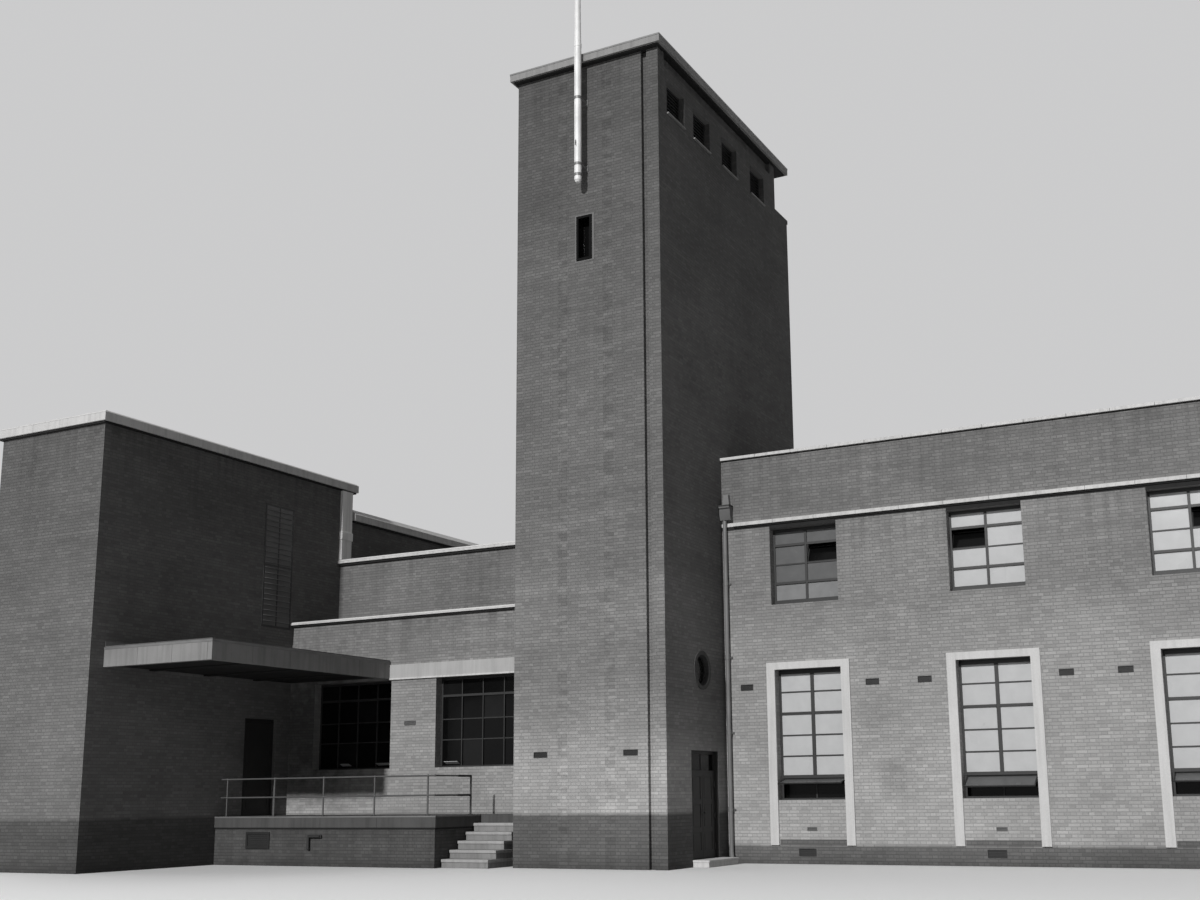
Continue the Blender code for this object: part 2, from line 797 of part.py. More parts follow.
def build_left_block():
    right = LEFT_END
    left = BLOCK_LEFT
    back = REAR
    near = BLOCK_FRONT
    profile = [
        (near, 0),
        (back, 0),
        (back, FAR_TOP),
        (NEAR_END, FAR_TOP),
        (NEAR_END, NEAR_TOP),
        (near, NEAR_TOP),
    ]
    door = rectangle((DOCK_DOOR_START, DOCK_DOOR_END), (DOCK_Z, DOCK_DOOR_TOP))
    panel("block_right_wall", profile, [door], right - WALL, right, BRICK, "side")
    inside = (left + WALL + GAP, right - WALL - GAP)
    walls = box("block_walls", (left, right - WALL - GAP), (near, back), (0, NEAR_TOP), BRICK)
    above = NEAR_TOP + CUT_PAST
    within = (near + WALL, back - WALL)
    cut(walls, (left + WALL + GAP, right), within, (-CUT_PAST, above), "inside")
    cut(walls, (left - CUT_PAST, right), (NEAR_END, back + CUT_PAST), (FAR_TOP, above), "far_top")
    inside_y = (near + WALL + GAP, back - WALL - GAP)
    box("block_floor", inside, inside_y, (0, DOCK_Z), CONCRETE)
    out = BLOCK_EDGE_OUT
    near_roof = box(
        "block_near_roof",
        (left - out, right + out),
        (near - out, NEAR_END + out),
        (NEAR_TOP + GAP, NEAR_TOP + NEAR_EDGE),
        CONCRETE,
    )
    step_z = (above - BLOCK_STEP_WALL, above)
    step_wall = box_mesh("step_wall", inside, (NEAR_END - WALL, NEAR_END), step_z)
    join(near_roof, step_wall, "step_wall")
    box(
        "block_far_roof",
        (left - out, right + out),
        (NEAR_END + GAP, back + out),
        (FAR_TOP + GAP, FAR_TOP + FAR_EDGE),
        CONCRETE,
    )
    box(
        "block_corner_strip",
        (right + GAP, right + STRIP_OUT),
        (STRIP_START, STRIP_END),
        (UPPER_ROOF_UNDER + UPPER_ROOF_EDGE + GAP, NEAR_TOP),
        CONCRETE,
    )
    across = (DOCK_DOOR_START, DOCK_DOOR_END)
    leaves = (("dock_door_leaf", 1),)
    build_door("dock_door", right, across, DOCK_Z + GAP, DOCK_DOOR_TOP, leaves)
    box(
        "canopy",
        (right + GAP, CANOPY_RIGHT),
        (CANOPY_FRONT, LEFT_SET_BACK - GAP),
        (CANOPY_UNDER, CANOPY_UNDER + CANOPY_THICKNESS),
        CONCRETE,
    )


def build_dock():
    wall = LEFT_SET_BACK - GAP
    left = LEFT_END + GAP
    top = DOCK_Z - DOCK_SLAB
    tower = -TOWER_WIDTH - GAP
    landing = [
        (left, DOCK_FRONT),
        (DOCK_RIGHT, DOCK_FRONT),
        (DOCK_RIGHT, STAIR_TOP_Y),
        (tower, STAIR_TOP_Y),
        (tower, wall),
        (left, wall),
    ]
    panel("dock_base", landing, [], 0, top, BRICK, "floor")
    out = DOCK_SLAB_OUT
    slab = [
        (left, DOCK_FRONT - out),
        (DOCK_RIGHT + out, DOCK_FRONT - out),
        (DOCK_RIGHT + out, STAIR_TOP_Y - out),
        (tower, STAIR_TOP_Y - out),
        (tower, wall),
        (left, wall),
    ]
    panel("dock_slab", slab, [], top + GAP, DOCK_Z, CONCRETE, "floor")
    rise = DOCK_Z / STAIR_RISERS
    bottom = STAIR_TOP_Y - out - GAP
    outline = [(bottom, 0), (bottom, rise * (STAIR_RISERS - 1))]
    for number in range(STAIR_RISERS - 1, 0, -1):
        nosing = bottom - STAIR_GOING * (STAIR_RISERS - number)
        outline.append((nosing, rise * number))
        outline.append((nosing, rise * (number - 1)))
    panel(
        "dock_stairs",
        outline,
        [],
        DOCK_RIGHT + out + GAP,
        STAIR_RIGHT,
        CONCRETE,
        "side",
    )


def build_dock_rail():
    rail_y = DOCK_FRONT + RAIL_INSET
    left = LEFT_END + GAP + RAIL_INSET
    right = DOCK_RIGHT - RAIL_INSET
    rail = bpy.data.curves.new("dock_rail", "CURVE")
    rail.dimensions = "3D"
    rail.bevel_depth = RAIL_RADIUS
    rail.bevel_resolution = 2
    rail.use_fill_caps = True
    for height in (RAIL_HEIGHT, RAIL_HEIGHT / 2):
        spline = rail.splines.new("POLY")
        spline.points.add(1)
        spline.points[0].co = (left, rail_y, DOCK_Z + height, 1.0)
        spline.points[1].co = (right, rail_y, DOCK_Z + height, 1.0)
    lines = as_mesh(place("dock_rail", rail, STEEL))
    spacing = (right - left - 2 * RAIL_END) / (RAIL_POSTS - 1)
    top = DOCK_Z + RAIL_HEIGHT + RAIL_POST / 2
    for number in range(RAIL_POSTS):
        middle = left + RAIL_END + spacing * number
        across = (middle - RAIL_POST / 2, middle + RAIL_POST / 2)
        depth = (rail_y - RAIL_POST / 2, rail_y + RAIL_POST / 2)
        join(lines, box_mesh("post", across, depth, (DOCK_Z + GAP, top)), f"post_{number + 1}")


build_tower()
build_tower_door()
build_flagpole()
build_right_wing()
build_rain_pipe()
build_left_wing()
build_left_block()
build_dock()
build_dock_rail()
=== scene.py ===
"""Looks of the brick factory: stair tower, two wings, left block and loading dock.

Metres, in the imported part's frame. The places in this file are measured from the tower's front
right corner at ground level: x to the right along the front, y back, z up.
"""
import random
from math import cos, radians, sin

import bmesh
import bpy
from mathutils import Matrix, Vector


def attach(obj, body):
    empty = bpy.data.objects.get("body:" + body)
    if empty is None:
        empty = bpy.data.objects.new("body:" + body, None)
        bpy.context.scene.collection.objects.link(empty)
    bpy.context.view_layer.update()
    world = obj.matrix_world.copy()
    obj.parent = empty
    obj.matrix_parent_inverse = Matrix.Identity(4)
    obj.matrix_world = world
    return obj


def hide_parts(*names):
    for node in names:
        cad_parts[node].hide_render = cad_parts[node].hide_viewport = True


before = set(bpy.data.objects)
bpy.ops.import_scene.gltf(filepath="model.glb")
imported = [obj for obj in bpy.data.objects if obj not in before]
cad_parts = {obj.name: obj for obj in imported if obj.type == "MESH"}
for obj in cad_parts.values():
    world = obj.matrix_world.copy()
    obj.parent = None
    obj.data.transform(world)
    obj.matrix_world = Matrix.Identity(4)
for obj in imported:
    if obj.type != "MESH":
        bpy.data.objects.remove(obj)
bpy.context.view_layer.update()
scene = bpy.context.scene
ops = bmesh.ops

# main sizes, as in the part
CORNER = Vector((2, -4.235, 0))
PLAN = Matrix.Translation(CORNER)
WING_FRONT = 3.29
WING_END = 14.11
LEFT_FRONT = 2
LEFT_END = -12.6
BLOCK_LEFT = -16.2
TOWER_BACK = 8.4703
REAR = 11.7
WALL = 0.34
BAY = 4.4
BAYS = [0, BAY, 2 * BAY]
DOCK_TOP = 1.2

# windows: sides within a bay, heights, and the lines between their lights
LOWER = (1.31, 2.98)
LOWER_SILL = 1.47
LOWER_ROWS = [2, 2.49, 2.98, 3.5, 4.01, 4.54]
UPPER = (1.26, 2.97)
UPPER_SILL, UPPER_HEAD = 6.12, 8
UPPER_ROWS = [6.2, 6.66, 7.12, 7.6, UPPER_HEAD]
BIG_LEFT = -7.69
BIG_STEP = -4.05
BIG_LIGHT = 0.65
BIG_ROWS = [2.38, 3.09, 3.62, 4.23, 4.7]
GLASS_BACK = 0.24

# camera
SHIFT = (-0.0431, 0.065)
FOCAL_PIXELS = 1380.1
PICTURE_WIDTH = 1200
CAMERA_PLACE = (13.744, -27.695, 1.6)
YAW, TILT, ROLL = 26.9, 10.98, -0.659

# spans of the brickwork's tones, dirt streaks, painted corner shade and darker foot
TALL = 20
STREAK_FALL = 2.4
CORNER_REACH, CORNER_FADE = 3.2, 3.5
FOOT_DARKENING = 0.35


# spans
def inset(span, by):
    return span[0] + by, span[1] - by


def about(middle, half):
    return middle - half, middle + half


def ends(span, rim):
    """The two end pieces of a span."""
    return (span[0], span[0] + rim), (span[1] - rim, span[1])


def border(put, across, up, rim):
    """Two uprights and two cross pieces between them, each made by put."""
    for side in ends(across, rim):
        put(side, up)
    for edge in ends(up, rim):
        put(inset(across, rim), edge)


def split(start, end, size):
    """Joint lines between two ends, about the given size apart."""
    count = max(1, round((end - start) / size))
    return [start + (end - start) * index / count for index in range(count + 1)]


def lengths(start, end, size, gap):
    """The lengths between joint lines, each a gap shorter at both ends."""
    lines = split(start, end, size)
    return [inset(span, gap) for span in zip(lines, lines[1:])]


# materials
class Nodes:
    """Short calls to build the nodes of a material or a world."""

    def __init__(self, owner):
        owner.use_nodes = True
        self.owner = owner
        self.nodes = owner.node_tree.nodes
        self.links = owner.node_tree.links
        self.shader = self.nodes.get("Principled BSDF")

    def add(self, kind, inputs=None, **settings):
        node = self.nodes.new("ShaderNode" + kind)
        for key, value in settings.items():
            setattr(node, key, value)
        self.set(node, inputs or {})
        return node

    def set(self, node, inputs):
        """Set each input to a value, or link it to another node's output."""
        for key, value in inputs.items():
            if isinstance(value, bpy.types.NodeSocket):
                self.links.new(value, node.inputs[key])
            else:
                node.inputs[key].default_value = value

    def math(self, operation, first, second=0, clamp=False):
        return self.add("Math", {0: first, 1: second}, operation=operation, use_clamp=clamp).outputs[0]

    def plus(self, first, second):
        return self.math("ADD", first, second)

    def minus(self, first, second):
        return self.math("SUBTRACT", first, second)

    def times(self, first, second):
        return self.math("MULTIPLY", first, second)

    def share(self, value, whole):
        """A value's share of a whole, from 0 to 1."""
        return self.math("DIVIDE", value, whole, True)

    def mix(self, factor, first, second, blend="MIX", kind="RGBA"):
        inputs = {"Factor": factor, "A": first, "B": second}
        return self.add("Mix", inputs, data_type=kind, blend_type=blend).outputs["Result"]

    def shade(self, color, *levels):
        """A colour multiplied by each level in turn."""
        for level in levels:
            color = self.mix(1, color, level, "MULTIPLY")
        return color

    def blend(self, factor, first, second):
        return self.mix(factor, first, second, kind="FLOAT")

    def ramp(self, value, *stops):
        """Grey levels along a value: stops are (place, level)."""
        node = self.add("ValToRGB", {"Fac": value})
        elements = node.color_ramp.elements
        while len(elements) < len(stops):
            elements.new(0.5)
        for element, (place, level) in zip(elements, stops):
            element.position = place
            element.color = (level, level, level, 1)
        return node.outputs["Color"]

    def noise(self, vector, scale, detail=3, roughness=0.55, stretch=None):
        if stretch:
            vector = self.add("Mapping", {"Scale": stretch, "Vector": vector}).outputs["Vector"]
        inputs = {"Scale": scale, "Detail": detail, "Roughness": roughness, "Vector": vector}
        return self.add("TexNoise", inputs).outputs["Fac"]

    def bump(self, height, distance, strength):
        inputs = {"Strength": strength, "Distance": distance, "Height": height}
        return self.add("Bump", inputs).outputs["Normal"]

    def finish(self, color, roughness, normal=None, shine=0.5):
        inputs = {"Specular IOR Level": shine, "Base Color": color, "Roughness": roughness}
        self.set(self.shader, {**inputs, "Normal": normal} if normal else inputs)
        return self.owner


def start_material(name):
    """A new material's nodes, the place on the object, its x, y and z, and the normal's."""
    n = Nodes(bpy.data.materials.new(name))
    found = n.add("TexCoord").outputs
    at, facing = (n.add("SeparateXYZ", {0: found[kind]}).outputs for kind in ("Object", "Normal"))
    return n, found["Object"], at, facing


def grey(tone):
    """The linear level of a display tone from 0 to 255."""
    level = tone / 255
    return level / 12.92 if level <= 0.04045 else ((level + 0.055) / 1.055) ** 2.4


def tint(level, warmth=0.012):
    return (level * (1 + warmth), level, level * (1 - warmth), 1)


def brick(name, tones, patches=(), streaks_and_shade_under=(), stains_and_shade=(), corner=None):
    """Brickwork in courses of 77 mm, whole and half bricks by turns, with dirt streaks, painted shade
    and washed bands.

    tones are (height, display tone), patches (x, half width) of toothed joins,
    streaks_and_shade_under heights of ledges that dirt streaks run down from, darkest right under
    each ledge as painted shade, stains_and_shade (x, z, size, share) of blots on a front wall, some
    stains and some painted shade, and corner (y, height, share) of painted shade in an inner corner
    on a right wall, all in the part's frame.
    """
    n, place, at, facing = start_material(name)
    side = n.math("GREATER_THAN", n.math("ABSOLUTE", facing["X"]), 0.6)
    top = n.math("GREATER_THAN", n.math("ABSOLUTE", facing["Z"]), 0.6)
    front = n.math("LESS_THAN", facing["Y"], -0.6)
    across = n.blend(side, at["X"], at["Y"])
    wall = n.add("CombineXYZ", {"X": across, "Y": n.blend(top, at["Z"], at["Y"])})

    inputs = {
        "Vector": wall.outputs[0], "Scale": 1, "Brick Width": 0.255, "Row Height": 0.077,
        "Mortar Size": 0.0065, "Mortar Smooth": 0.25,
        "Color1": (0, 0, 0, 1), "Color2": (1, 1, 1, 1), "Mortar": (0.5, 0.5, 0.5, 1),
    }
    bond = n.add("TexBrick", inputs, offset=0.5, offset_frequency=2, squash=0.5, squash_frequency=2)
    own = n.ramp(bond.outputs["Color"], (0, 0.84), (0.18, 0.93), (0.78, 1.04), (1, 1.15))
    stops = [(height / TALL, grey(tone)) for height, tone in tones]
    level = n.ramp(n.math("DIVIDE", at["Z"], TALL), *stops)
    cloud = n.ramp(n.noise(place, 0.42, 4), (0.3, 0.86), (0.5, 1), (0.72, 1.13))
    layers = n.noise(place, 1, 3, stretch=(0.35, 0.35, 3.4))
    band = n.ramp(layers, (0.32, 0.91), (0.52, 1), (0.7, 1.08))
    speck = n.ramp(n.noise(place, 60, 2), (0.3, 0.9), (0.7, 1.08))
    streaks = n.ramp(n.noise(place, 1, 4, stretch=(5, 5, 0.22)), (0.42, 0), (0.66, 1))

    color = n.shade(level, own, cloud, band, speck, tint(1))
    joint = n.shade(level, cloud, tint(0.8, 0.004))
    color = n.mix(bond.outputs["Fac"], color, joint)

    for middle, half in patches:
        near = n.math("LESS_THAN", n.math("ABSOLUTE", n.minus(at["X"], middle)), half)
        teeth = n.noise(place, 1, 2, stretch=(2, 2, 6.5))
        toothed = n.shade(color, n.ramp(teeth, (0.42, 0.8), (0.58, 1.14)))
        color = n.mix(n.times(n.times(near, front), 0.8), color, toothed)
    # streaks down from each ledge, darkest right under it: dirt streaks and painted shade
    for ledge in streaks_and_shade_under:
        below = n.minus(ledge, at["Z"])
        fade = n.ramp(n.share(below, STREAK_FALL), (0, 1), (0.12, 0.65), (1, 0))
        share = n.times(n.times(fade, n.math("GREATER_THAN", below, 0)), streaks)
        color = n.mix(n.times(share, 0.42), color, n.shade(color, (0.45, 0.45, 0.45, 1)))
    # each blot darkens or lightens a front wall: real stains, and painted shade where a blot stands
    # for a shadow
    for x, z, size, share in stains_and_shade:
        off_x = n.math("POWER", n.minus(at["X"], x), 2)
        off_z = n.math("POWER", n.minus(at["Z"], z), 2)
        far = n.math("DIVIDE", n.math("SQRT", n.plus(off_x, off_z)), size)
        far = n.plus(far, n.times(n.minus(n.noise(place, 3.2, 4), 0.5), 1.1))
        color = n.mix(front, color, n.shade(color, n.ramp(far, (0.35, 1 - share), (1, 1))))
    # darker towards an inner corner on right-facing walls: painted shade
    if corner:
        near = n.share(n.minus(at["Y"], corner[0] - CORNER_REACH), CORNER_REACH)
        fade = n.ramp(near, (0, 1), (0.45, 0.9), (1, corner[2]))
        above = n.share(n.minus(at["Z"], corner[1] - CORNER_FADE), CORNER_FADE)
        low = n.ramp(above, (0, 1), (0.4, 0.75), (1, 0))
        share = n.times(n.math("GREATER_THAN", facing["X"], 0.6), low)
        color = n.mix(share, color, n.shade(color, fade))
    # each wall grows darker towards the bottom over its lowest part
    darker_foot = n.ramp(n.share(at["Z"], FOOT_DARKENING), (0, 0.72), (0.5, 0.92), (1, 1))
    capped = n.mix(top, n.shade(color, darker_foot), tint(grey(118)))

    grain = n.noise(place, 150, 3)
    relief = n.plus(n.times(bond.outputs["Fac"], -1), n.times(grain, 0.22))
    normal = n.bump(n.plus(relief, n.times(own, 0.35)), 0.006, 0.9)
    rough = n.blend(bond.outputs["Fac"], n.plus(n.times(grain, 0.16), 0.78), 0.96)
    return n.finish(capped, rough, normal, 0.15)


def mineral(name, tone, spread=0.1, grain=90, streak=0.25, roughness=0.85, bump=0.0015):
    """Concrete, render or stone: grain, clouds, rain streaks and pores."""
    n, place, _, facing = start_material(name)
    cloud = n.ramp(n.noise(place, 1.3, 5), (0.25, 1 - spread), (0.5, 1), (0.75, 1 + spread))
    fine = n.noise(place, grain, 3)
    run = n.ramp(n.noise(place, 1, 4, stretch=(9, 9, 0.5)), (0.45, 1), (0.75, 1 - streak))
    upright = n.math("LESS_THAN", n.math("ABSOLUTE", facing["Z"]), 0.5)
    color = n.shade(tint(grey(tone), 0.008), cloud, n.ramp(fine, (0.3, 0.92), (0.7, 1.06)))
    color = n.mix(upright, color, n.shade(color, run))
    pores = n.add("TexVoronoi", {"Scale": grain * 0.5, "Vector": place})
    hole = n.ramp(pores.outputs["Distance"], (0, 0), (0.12, 1))
    color = n.shade(color, n.ramp(hole, (0, 0.8), (1, 1)))
    height = n.plus(fine, n.times(hole, 0.5))
    rough = n.plus(n.times(fine, 0.14), roughness - 0.07)
    return n.finish(color, rough, n.bump(height, bump, 0.8), 0.25)


def paint(name, tone, roughness, wear, metallic=0):
    """Old paint on metal, with chips and brush lines."""
    n, place, *_ = start_material(name)
    cloud = n.ramp(n.noise(place, 2.2, 4), (0.3, 0.86), (0.7, 1.14))
    chips = n.ramp(n.noise(place, 38, 4, 0.7), (0.66, 0), (0.72, 1))
    color = n.shade(tint(grey(tone), 0.004), cloud)
    color = n.mix(n.times(chips, wear), color, tint(grey(120), 0.05))
    brush = n.noise(place, 1, 3, stretch=(60, 60, 9))
    rough = n.plus(n.times(brush, 0.22), roughness - 0.08)
    n.set(n.shader, {"Metallic": metallic})
    return n.finish(color, rough, n.bump(brush, 0.0006, 0.6))


def glass(name, tone, roughness, streaky=0.1, shine=0.5):
    """A pane seen from outside, with dust and uneven gloss."""
    n, place, *_ = start_material(name)
    dust = n.ramp(n.noise(place, 3, 4), (0.3, 1 - streaky), (0.7, 1 + streaky))
    color = n.shade(tint(grey(tone), -0.006), dust)
    wave = n.noise(place, 2.4, 1)
    n.set(n.shader, {"IOR": 1.5})
    rough = n.plus(n.times(wave, 0.08), roughness)
    return n.finish(color, rough, n.bump(wave, 0.006, 0.5), shine)


def timber(name, tone):
    """Painted boards with grain showing through."""
    n, place, *_ = start_material(name)
    grain = n.noise(place, 1, 5, stretch=(55, 55, 2.6))
    fibres = n.ramp(grain, (0.3, 0.78), (0.7, 1.22))
    cloud = n.ramp(n.noise(place, 1.6, 3), (0.3, 0.85), (0.7, 1.15))
    color = n.shade(tint(grey(tone), 0.03), fibres, cloud)
    return n.finish(color, n.plus(n.times(grain, 0.2), 0.48), n.bump(grain, 0.0012, 0.7))


def felt(name, tone):
    """Gritty bitumen felt in strips one metre wide, with darker laps."""
    n, place, at, _ = start_material(name)
    strip = n.math("FRACT", at["X"])
    seam = n.ramp(strip, (0, 0.62), (0.035, 0.66), (0.05, 1), (0.97, 1), (1, 0.8))
    grit = n.noise(place, 220, 2)
    stain = n.ramp(n.noise(place, 0.7, 5), (0.3, 0.78), (0.5, 1), (0.7, 1.25))
    rubbed = n.ramp(grit, (0.3, 0.8), (0.7, 1.2))
    color = n.shade(tint(grey(tone), 0.006), rubbed, stain, seam)
    return n.finish(color, 0.92, n.bump(n.plus(n.times(grit, 0.5), seam), 0.004, 0.7))


# camera, light and floor
def set_camera():
    data = bpy.data.cameras.new("camera")
    data.sensor_width = 36
    data.lens = FOCAL_PIXELS / PICTURE_WIDTH * data.sensor_width
    data.shift_x, data.shift_y = SHIFT
    data.clip_end = 1000
    camera = bpy.data.objects.new("camera", data)
    camera.matrix_world = Matrix.Translation(CORNER + Vector(CAMERA_PLACE))
    for degrees, axis in ((YAW, "Z"), (90 + TILT, "X"), (ROLL, "Z")):
        camera.matrix_world = camera.matrix_world @ Matrix.Rotation(radians(degrees), 4, axis)
    scene.collection.objects.link(camera)
    scene.camera = camera


def set_light():
    """A low front sun, and a weak sky, brighter behind. Cameras and reflections see a plain grey."""
    scene.view_settings.view_transform = "Standard"
    sun = bpy.data.lights.new("key", "SUN")
    sun.energy = 2.72
    sun.angle = radians(2)
    lamp = bpy.data.objects.new("key", sun)
    lamp.rotation_euler = Vector((0.012, -1, 0.47)).to_track_quat("Z", "Y").to_euler()
    scene.collection.objects.link(lamp)
    world = bpy.data.worlds.new("studio")
    scene.world = world
    n = Nodes(world)
    inputs = {0: n.add("TexCoord").outputs["Generated"], 1: (-0.8, 0.58, 0.16)}
    aim = n.add("VectorMath", inputs, operation="DOT_PRODUCT")
    level = n.math("POWER", n.math("MAXIMUM", aim.outputs["Value"], 0), 2.5)
    light = n.nodes["Background"]
    n.set(light, {"Color": (1, 1, 1, 1), "Strength": n.plus(n.times(level, 3.2), 0.09)})
    seen = n.add("Background", {"Color": (0.6, 0.6, 0.605, 1)})
    path = n.add("LightPath").outputs
    either = n.math("MAXIMUM", path["Is Camera Ray"], path["Is Glossy Ray"])
    every = n.math("MAXIMUM", either, path["Is Transmission Ray"])
    mix = n.add("MixShader", {0: every, 1: light.outputs[0], 2: seen.outputs[0]})
    n.set(n.nodes["World Output"], {"Surface": mix.outputs[0]})


def add_floor():
    """A floor that looks paler than the light it throws back."""
    bpy.ops.mesh.primitive_plane_add(size=3000)
    floor = bpy.context.object
    floor.name = "floor"
    n = Nodes(bpy.data.materials.new("floor"))
    seen = n.add("LightPath").outputs["Is Camera Ray"]
    color = n.mix(seen, (0.44, 0.44, 0.44, 1), (0.9, 0.9, 0.9, 1))
    floor.data.materials.append(n.finish(color, 0.95))


# shapes
class Shape:
    """One mesh made of several closed forms, placed from the tower's front right corner."""

    def __init__(self, name, *materials):
        self.name = name
        self.materials = materials
        self.bm = bmesh.new()

    def _mark(self, verts, material, smooth=False):
        for face in {face for vert in verts for face in vert.link_faces}:
            face.material_index = material
            face.smooth = smooth

    def _turn(self, verts, turn, pivot=(0, 0, 0)):
        axis, degrees = turn
        matrix = Matrix.Rotation(radians(degrees), 3, axis)
        ops.rotate(self.bm, verts=verts, cent=pivot, matrix=matrix)

    def box(self, x, y, z, material=0, turn=None, pivot=(0, 0, 0)):
        made = ops.create_cube(self.bm, size=1)["verts"]
        ops.scale(self.bm, verts=made, vec=(x[1] - x[0], y[1] - y[0], z[1] - z[0]))
        ops.translate(self.bm, verts=made, vec=[sum(span) / 2 for span in (x, y, z)])
        if turn:
            self._turn(made, turn, pivot)
        self._mark(made, material)
        return made

    def slope(self, x, y, z, insets):
        """A box whose top is drawn in by (left, right, front, back)."""
        for vert in self.box(x, y, z):
            if vert.co.z > sum(z) / 2:
                vert.co.x += insets[0] if vert.co.x < sum(x) / 2 else -insets[1]
                vert.co.y += insets[2] if vert.co.y < sum(y) / 2 else -insets[3]

    def rod(self, start, end, radius, material=0, tip=None, sides=20):
        start, end = Vector(start), Vector(end)
        made = ops.create_cone(
            self.bm, cap_ends=True, segments=sides, radius1=radius,
            radius2=radius if tip is None else tip, depth=(end - start).length,
        )["verts"]
        turn = (end - start).to_track_quat("Z", "Y").to_matrix().to_4x4()
        ops.transform(self.bm, verts=made, matrix=Matrix.Translation((start + end) / 2) @ turn)
        self._mark(made, material, True)

    def post(self, x, y, z, *settings, **more):
        """An upright rod."""
        self.rod((x, y, z[0]), (x, y, z[1]), *settings, **more)

    def ball(self, middle, radius):
        made = ops.create_uvsphere(self.bm, u_segments=20, v_segments=12, radius=radius)["verts"]
        ops.translate(self.bm, verts=made, vec=middle)
        self._mark(made, 0, True)

    def prism(self, outline, near, far, along="x", material=0):
        """An outline pushed along x, its points (y, z), or along y, its points (x, z)."""
        low, high = (
            [self.bm.verts.new((d, a, b) if along == "x" else (a, d, b)) for a, b in outline]
            for d in (near, far)
        )
        faces = [self.bm.faces.new(low), self.bm.faces.new(high)]
        for index in range(len(outline)):
            after = (index + 1) % len(outline)
            faces.append(self.bm.faces.new((low[index], low[after], high[after], high[index])))
        ops.recalc_face_normals(self.bm, faces=faces)
        for face in faces:
            face.material_index = material

    def build(self, *replaces, body="building", bevel=0.003):
        mesh = bpy.data.meshes.new(self.name)
        ops.transform(self.bm, verts=self.bm.verts, matrix=PLAN)
        self.bm.to_mesh(mesh)
        self.bm.free()
        for material in self.materials:
            mesh.materials.append(material)
        mesh.set_sharp_from_angle(angle=radians(38))
        item = bpy.data.objects.new(self.name, mesh)
        scene.collection.objects.link(item)
        if bevel:
            soften = item.modifiers.new("edges", "BEVEL")
            soften.width = bevel
            soften.segments = 2
            soften.limit_method = "ANGLE"
            soften.angle_limit = radians(40)
            soften.harden_normals = True
        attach(item, body)
        if replaces:
            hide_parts(*replaces)


set_camera()
set_light()
add_floor()

random.seed(7)

FRONT_TONES = [
    (0, 97), (1.17, 104), (1.23, 170), (2.5, 166), (3.1, 146), (4, 129), (6.3, 132),
    (7, 121), (10, 113), (13, 107), (16, 97), (19.6, 92),
]
WING_TONES = [
    (0, 100), (0.4, 108), (0.46, 164), (2, 167), (4, 158), (5.2, 148), (6.2, 136),
    (8, 140), (8.3, 122), (9.9, 120),
]
LEFT_TONES = [
    (0, 97), (1.17, 104), (1.23, 158), (3, 154), (4.6, 146), (5.3, 136), (6.4, 126), (8.5, 122),
]
BLOCK_TONES = [(0, 84), (1.17, 90), (1.23, 120), (5, 112), (10.6, 100)]
DOCK_TONES = [(0, 84), (0.5, 86), (1.2, 84)]

tower_brick = brick(
    "tower_brick", FRONT_TONES, patches=((-0.68, 0.13), (0.57, 0.13)), streaks_and_shade_under=(19.6,),
    # painted shade in the inner corner beside the wing
    corner=(-0.945, 9.9, 0.5),
)
wing_brick = brick(
    "wing_brick", WING_TONES, streaks_and_shade_under=(9.82, 8.1),
    stains_and_shade=((6.15, 1.95, 0.55, 0.14), (5.6, 9, 0.8, -0.1), (4.3, 5.6, 0.7, 0.07), (9, 3.1, 0.8, 0.08)),
)
left_brick = brick(
    "left_brick", LEFT_TONES, streaks_and_shade_under=(8.34, 6.33),
    # the first blot, under the canopy, is painted shade; the second is a stain
    stains_and_shade=((-9.6, 3.5, 2.4, 0.6), (-5.2, 1.6, 1.3, 0.12)),
)
block_brick = brick("block_brick", BLOCK_TONES, streaks_and_shade_under=(10.6,))
dock_brick = brick("dock_brick", DOCK_TONES, streaks_and_shade_under=(0.88,))
plinth_brick = brick("plinth_brick", [(0, 100), (1, 108)])
ring_brick = mineral("ring_brick", 80, 0.16, 110, 0.1, 0.9, 0.003)
pale_brick = mineral("pale_margin", 114, 0.1, 90, 0.15)
stone = mineral("pale_stone", 205)
band_stone = mineral("band_stone", 176, 0.08, 80, 0.18)
block_edge = mineral("block_edge", 238, 0.07, 80, 0.2)
roof_edge = mineral("roof_edge", 200, 0.07, 80, 0.2)
# dark stone for set-back beds, strips under ledges and the canopy's underside: painted shade under
# edges, with grain and streaks
shade_stone = mineral("painted_shade_stone", 40, 0.14, 80, 0.2)
dock_edge = mineral("dock_edge", 82, 0.14, 70, 0.3)
render = mineral("white_render", 203, 0.05, 60, 0.14, 0.8, 0.001)
slab_concrete = mineral("slab_concrete", 146, 0.12)
canopy_concrete = mineral("canopy_concrete", 136, 0.12)
step_concrete = mineral("step_concrete", 205, 0.12, 70, 0.2)
tread_concrete = mineral("tread_concrete", 164, 0.12, 70, 0.2)
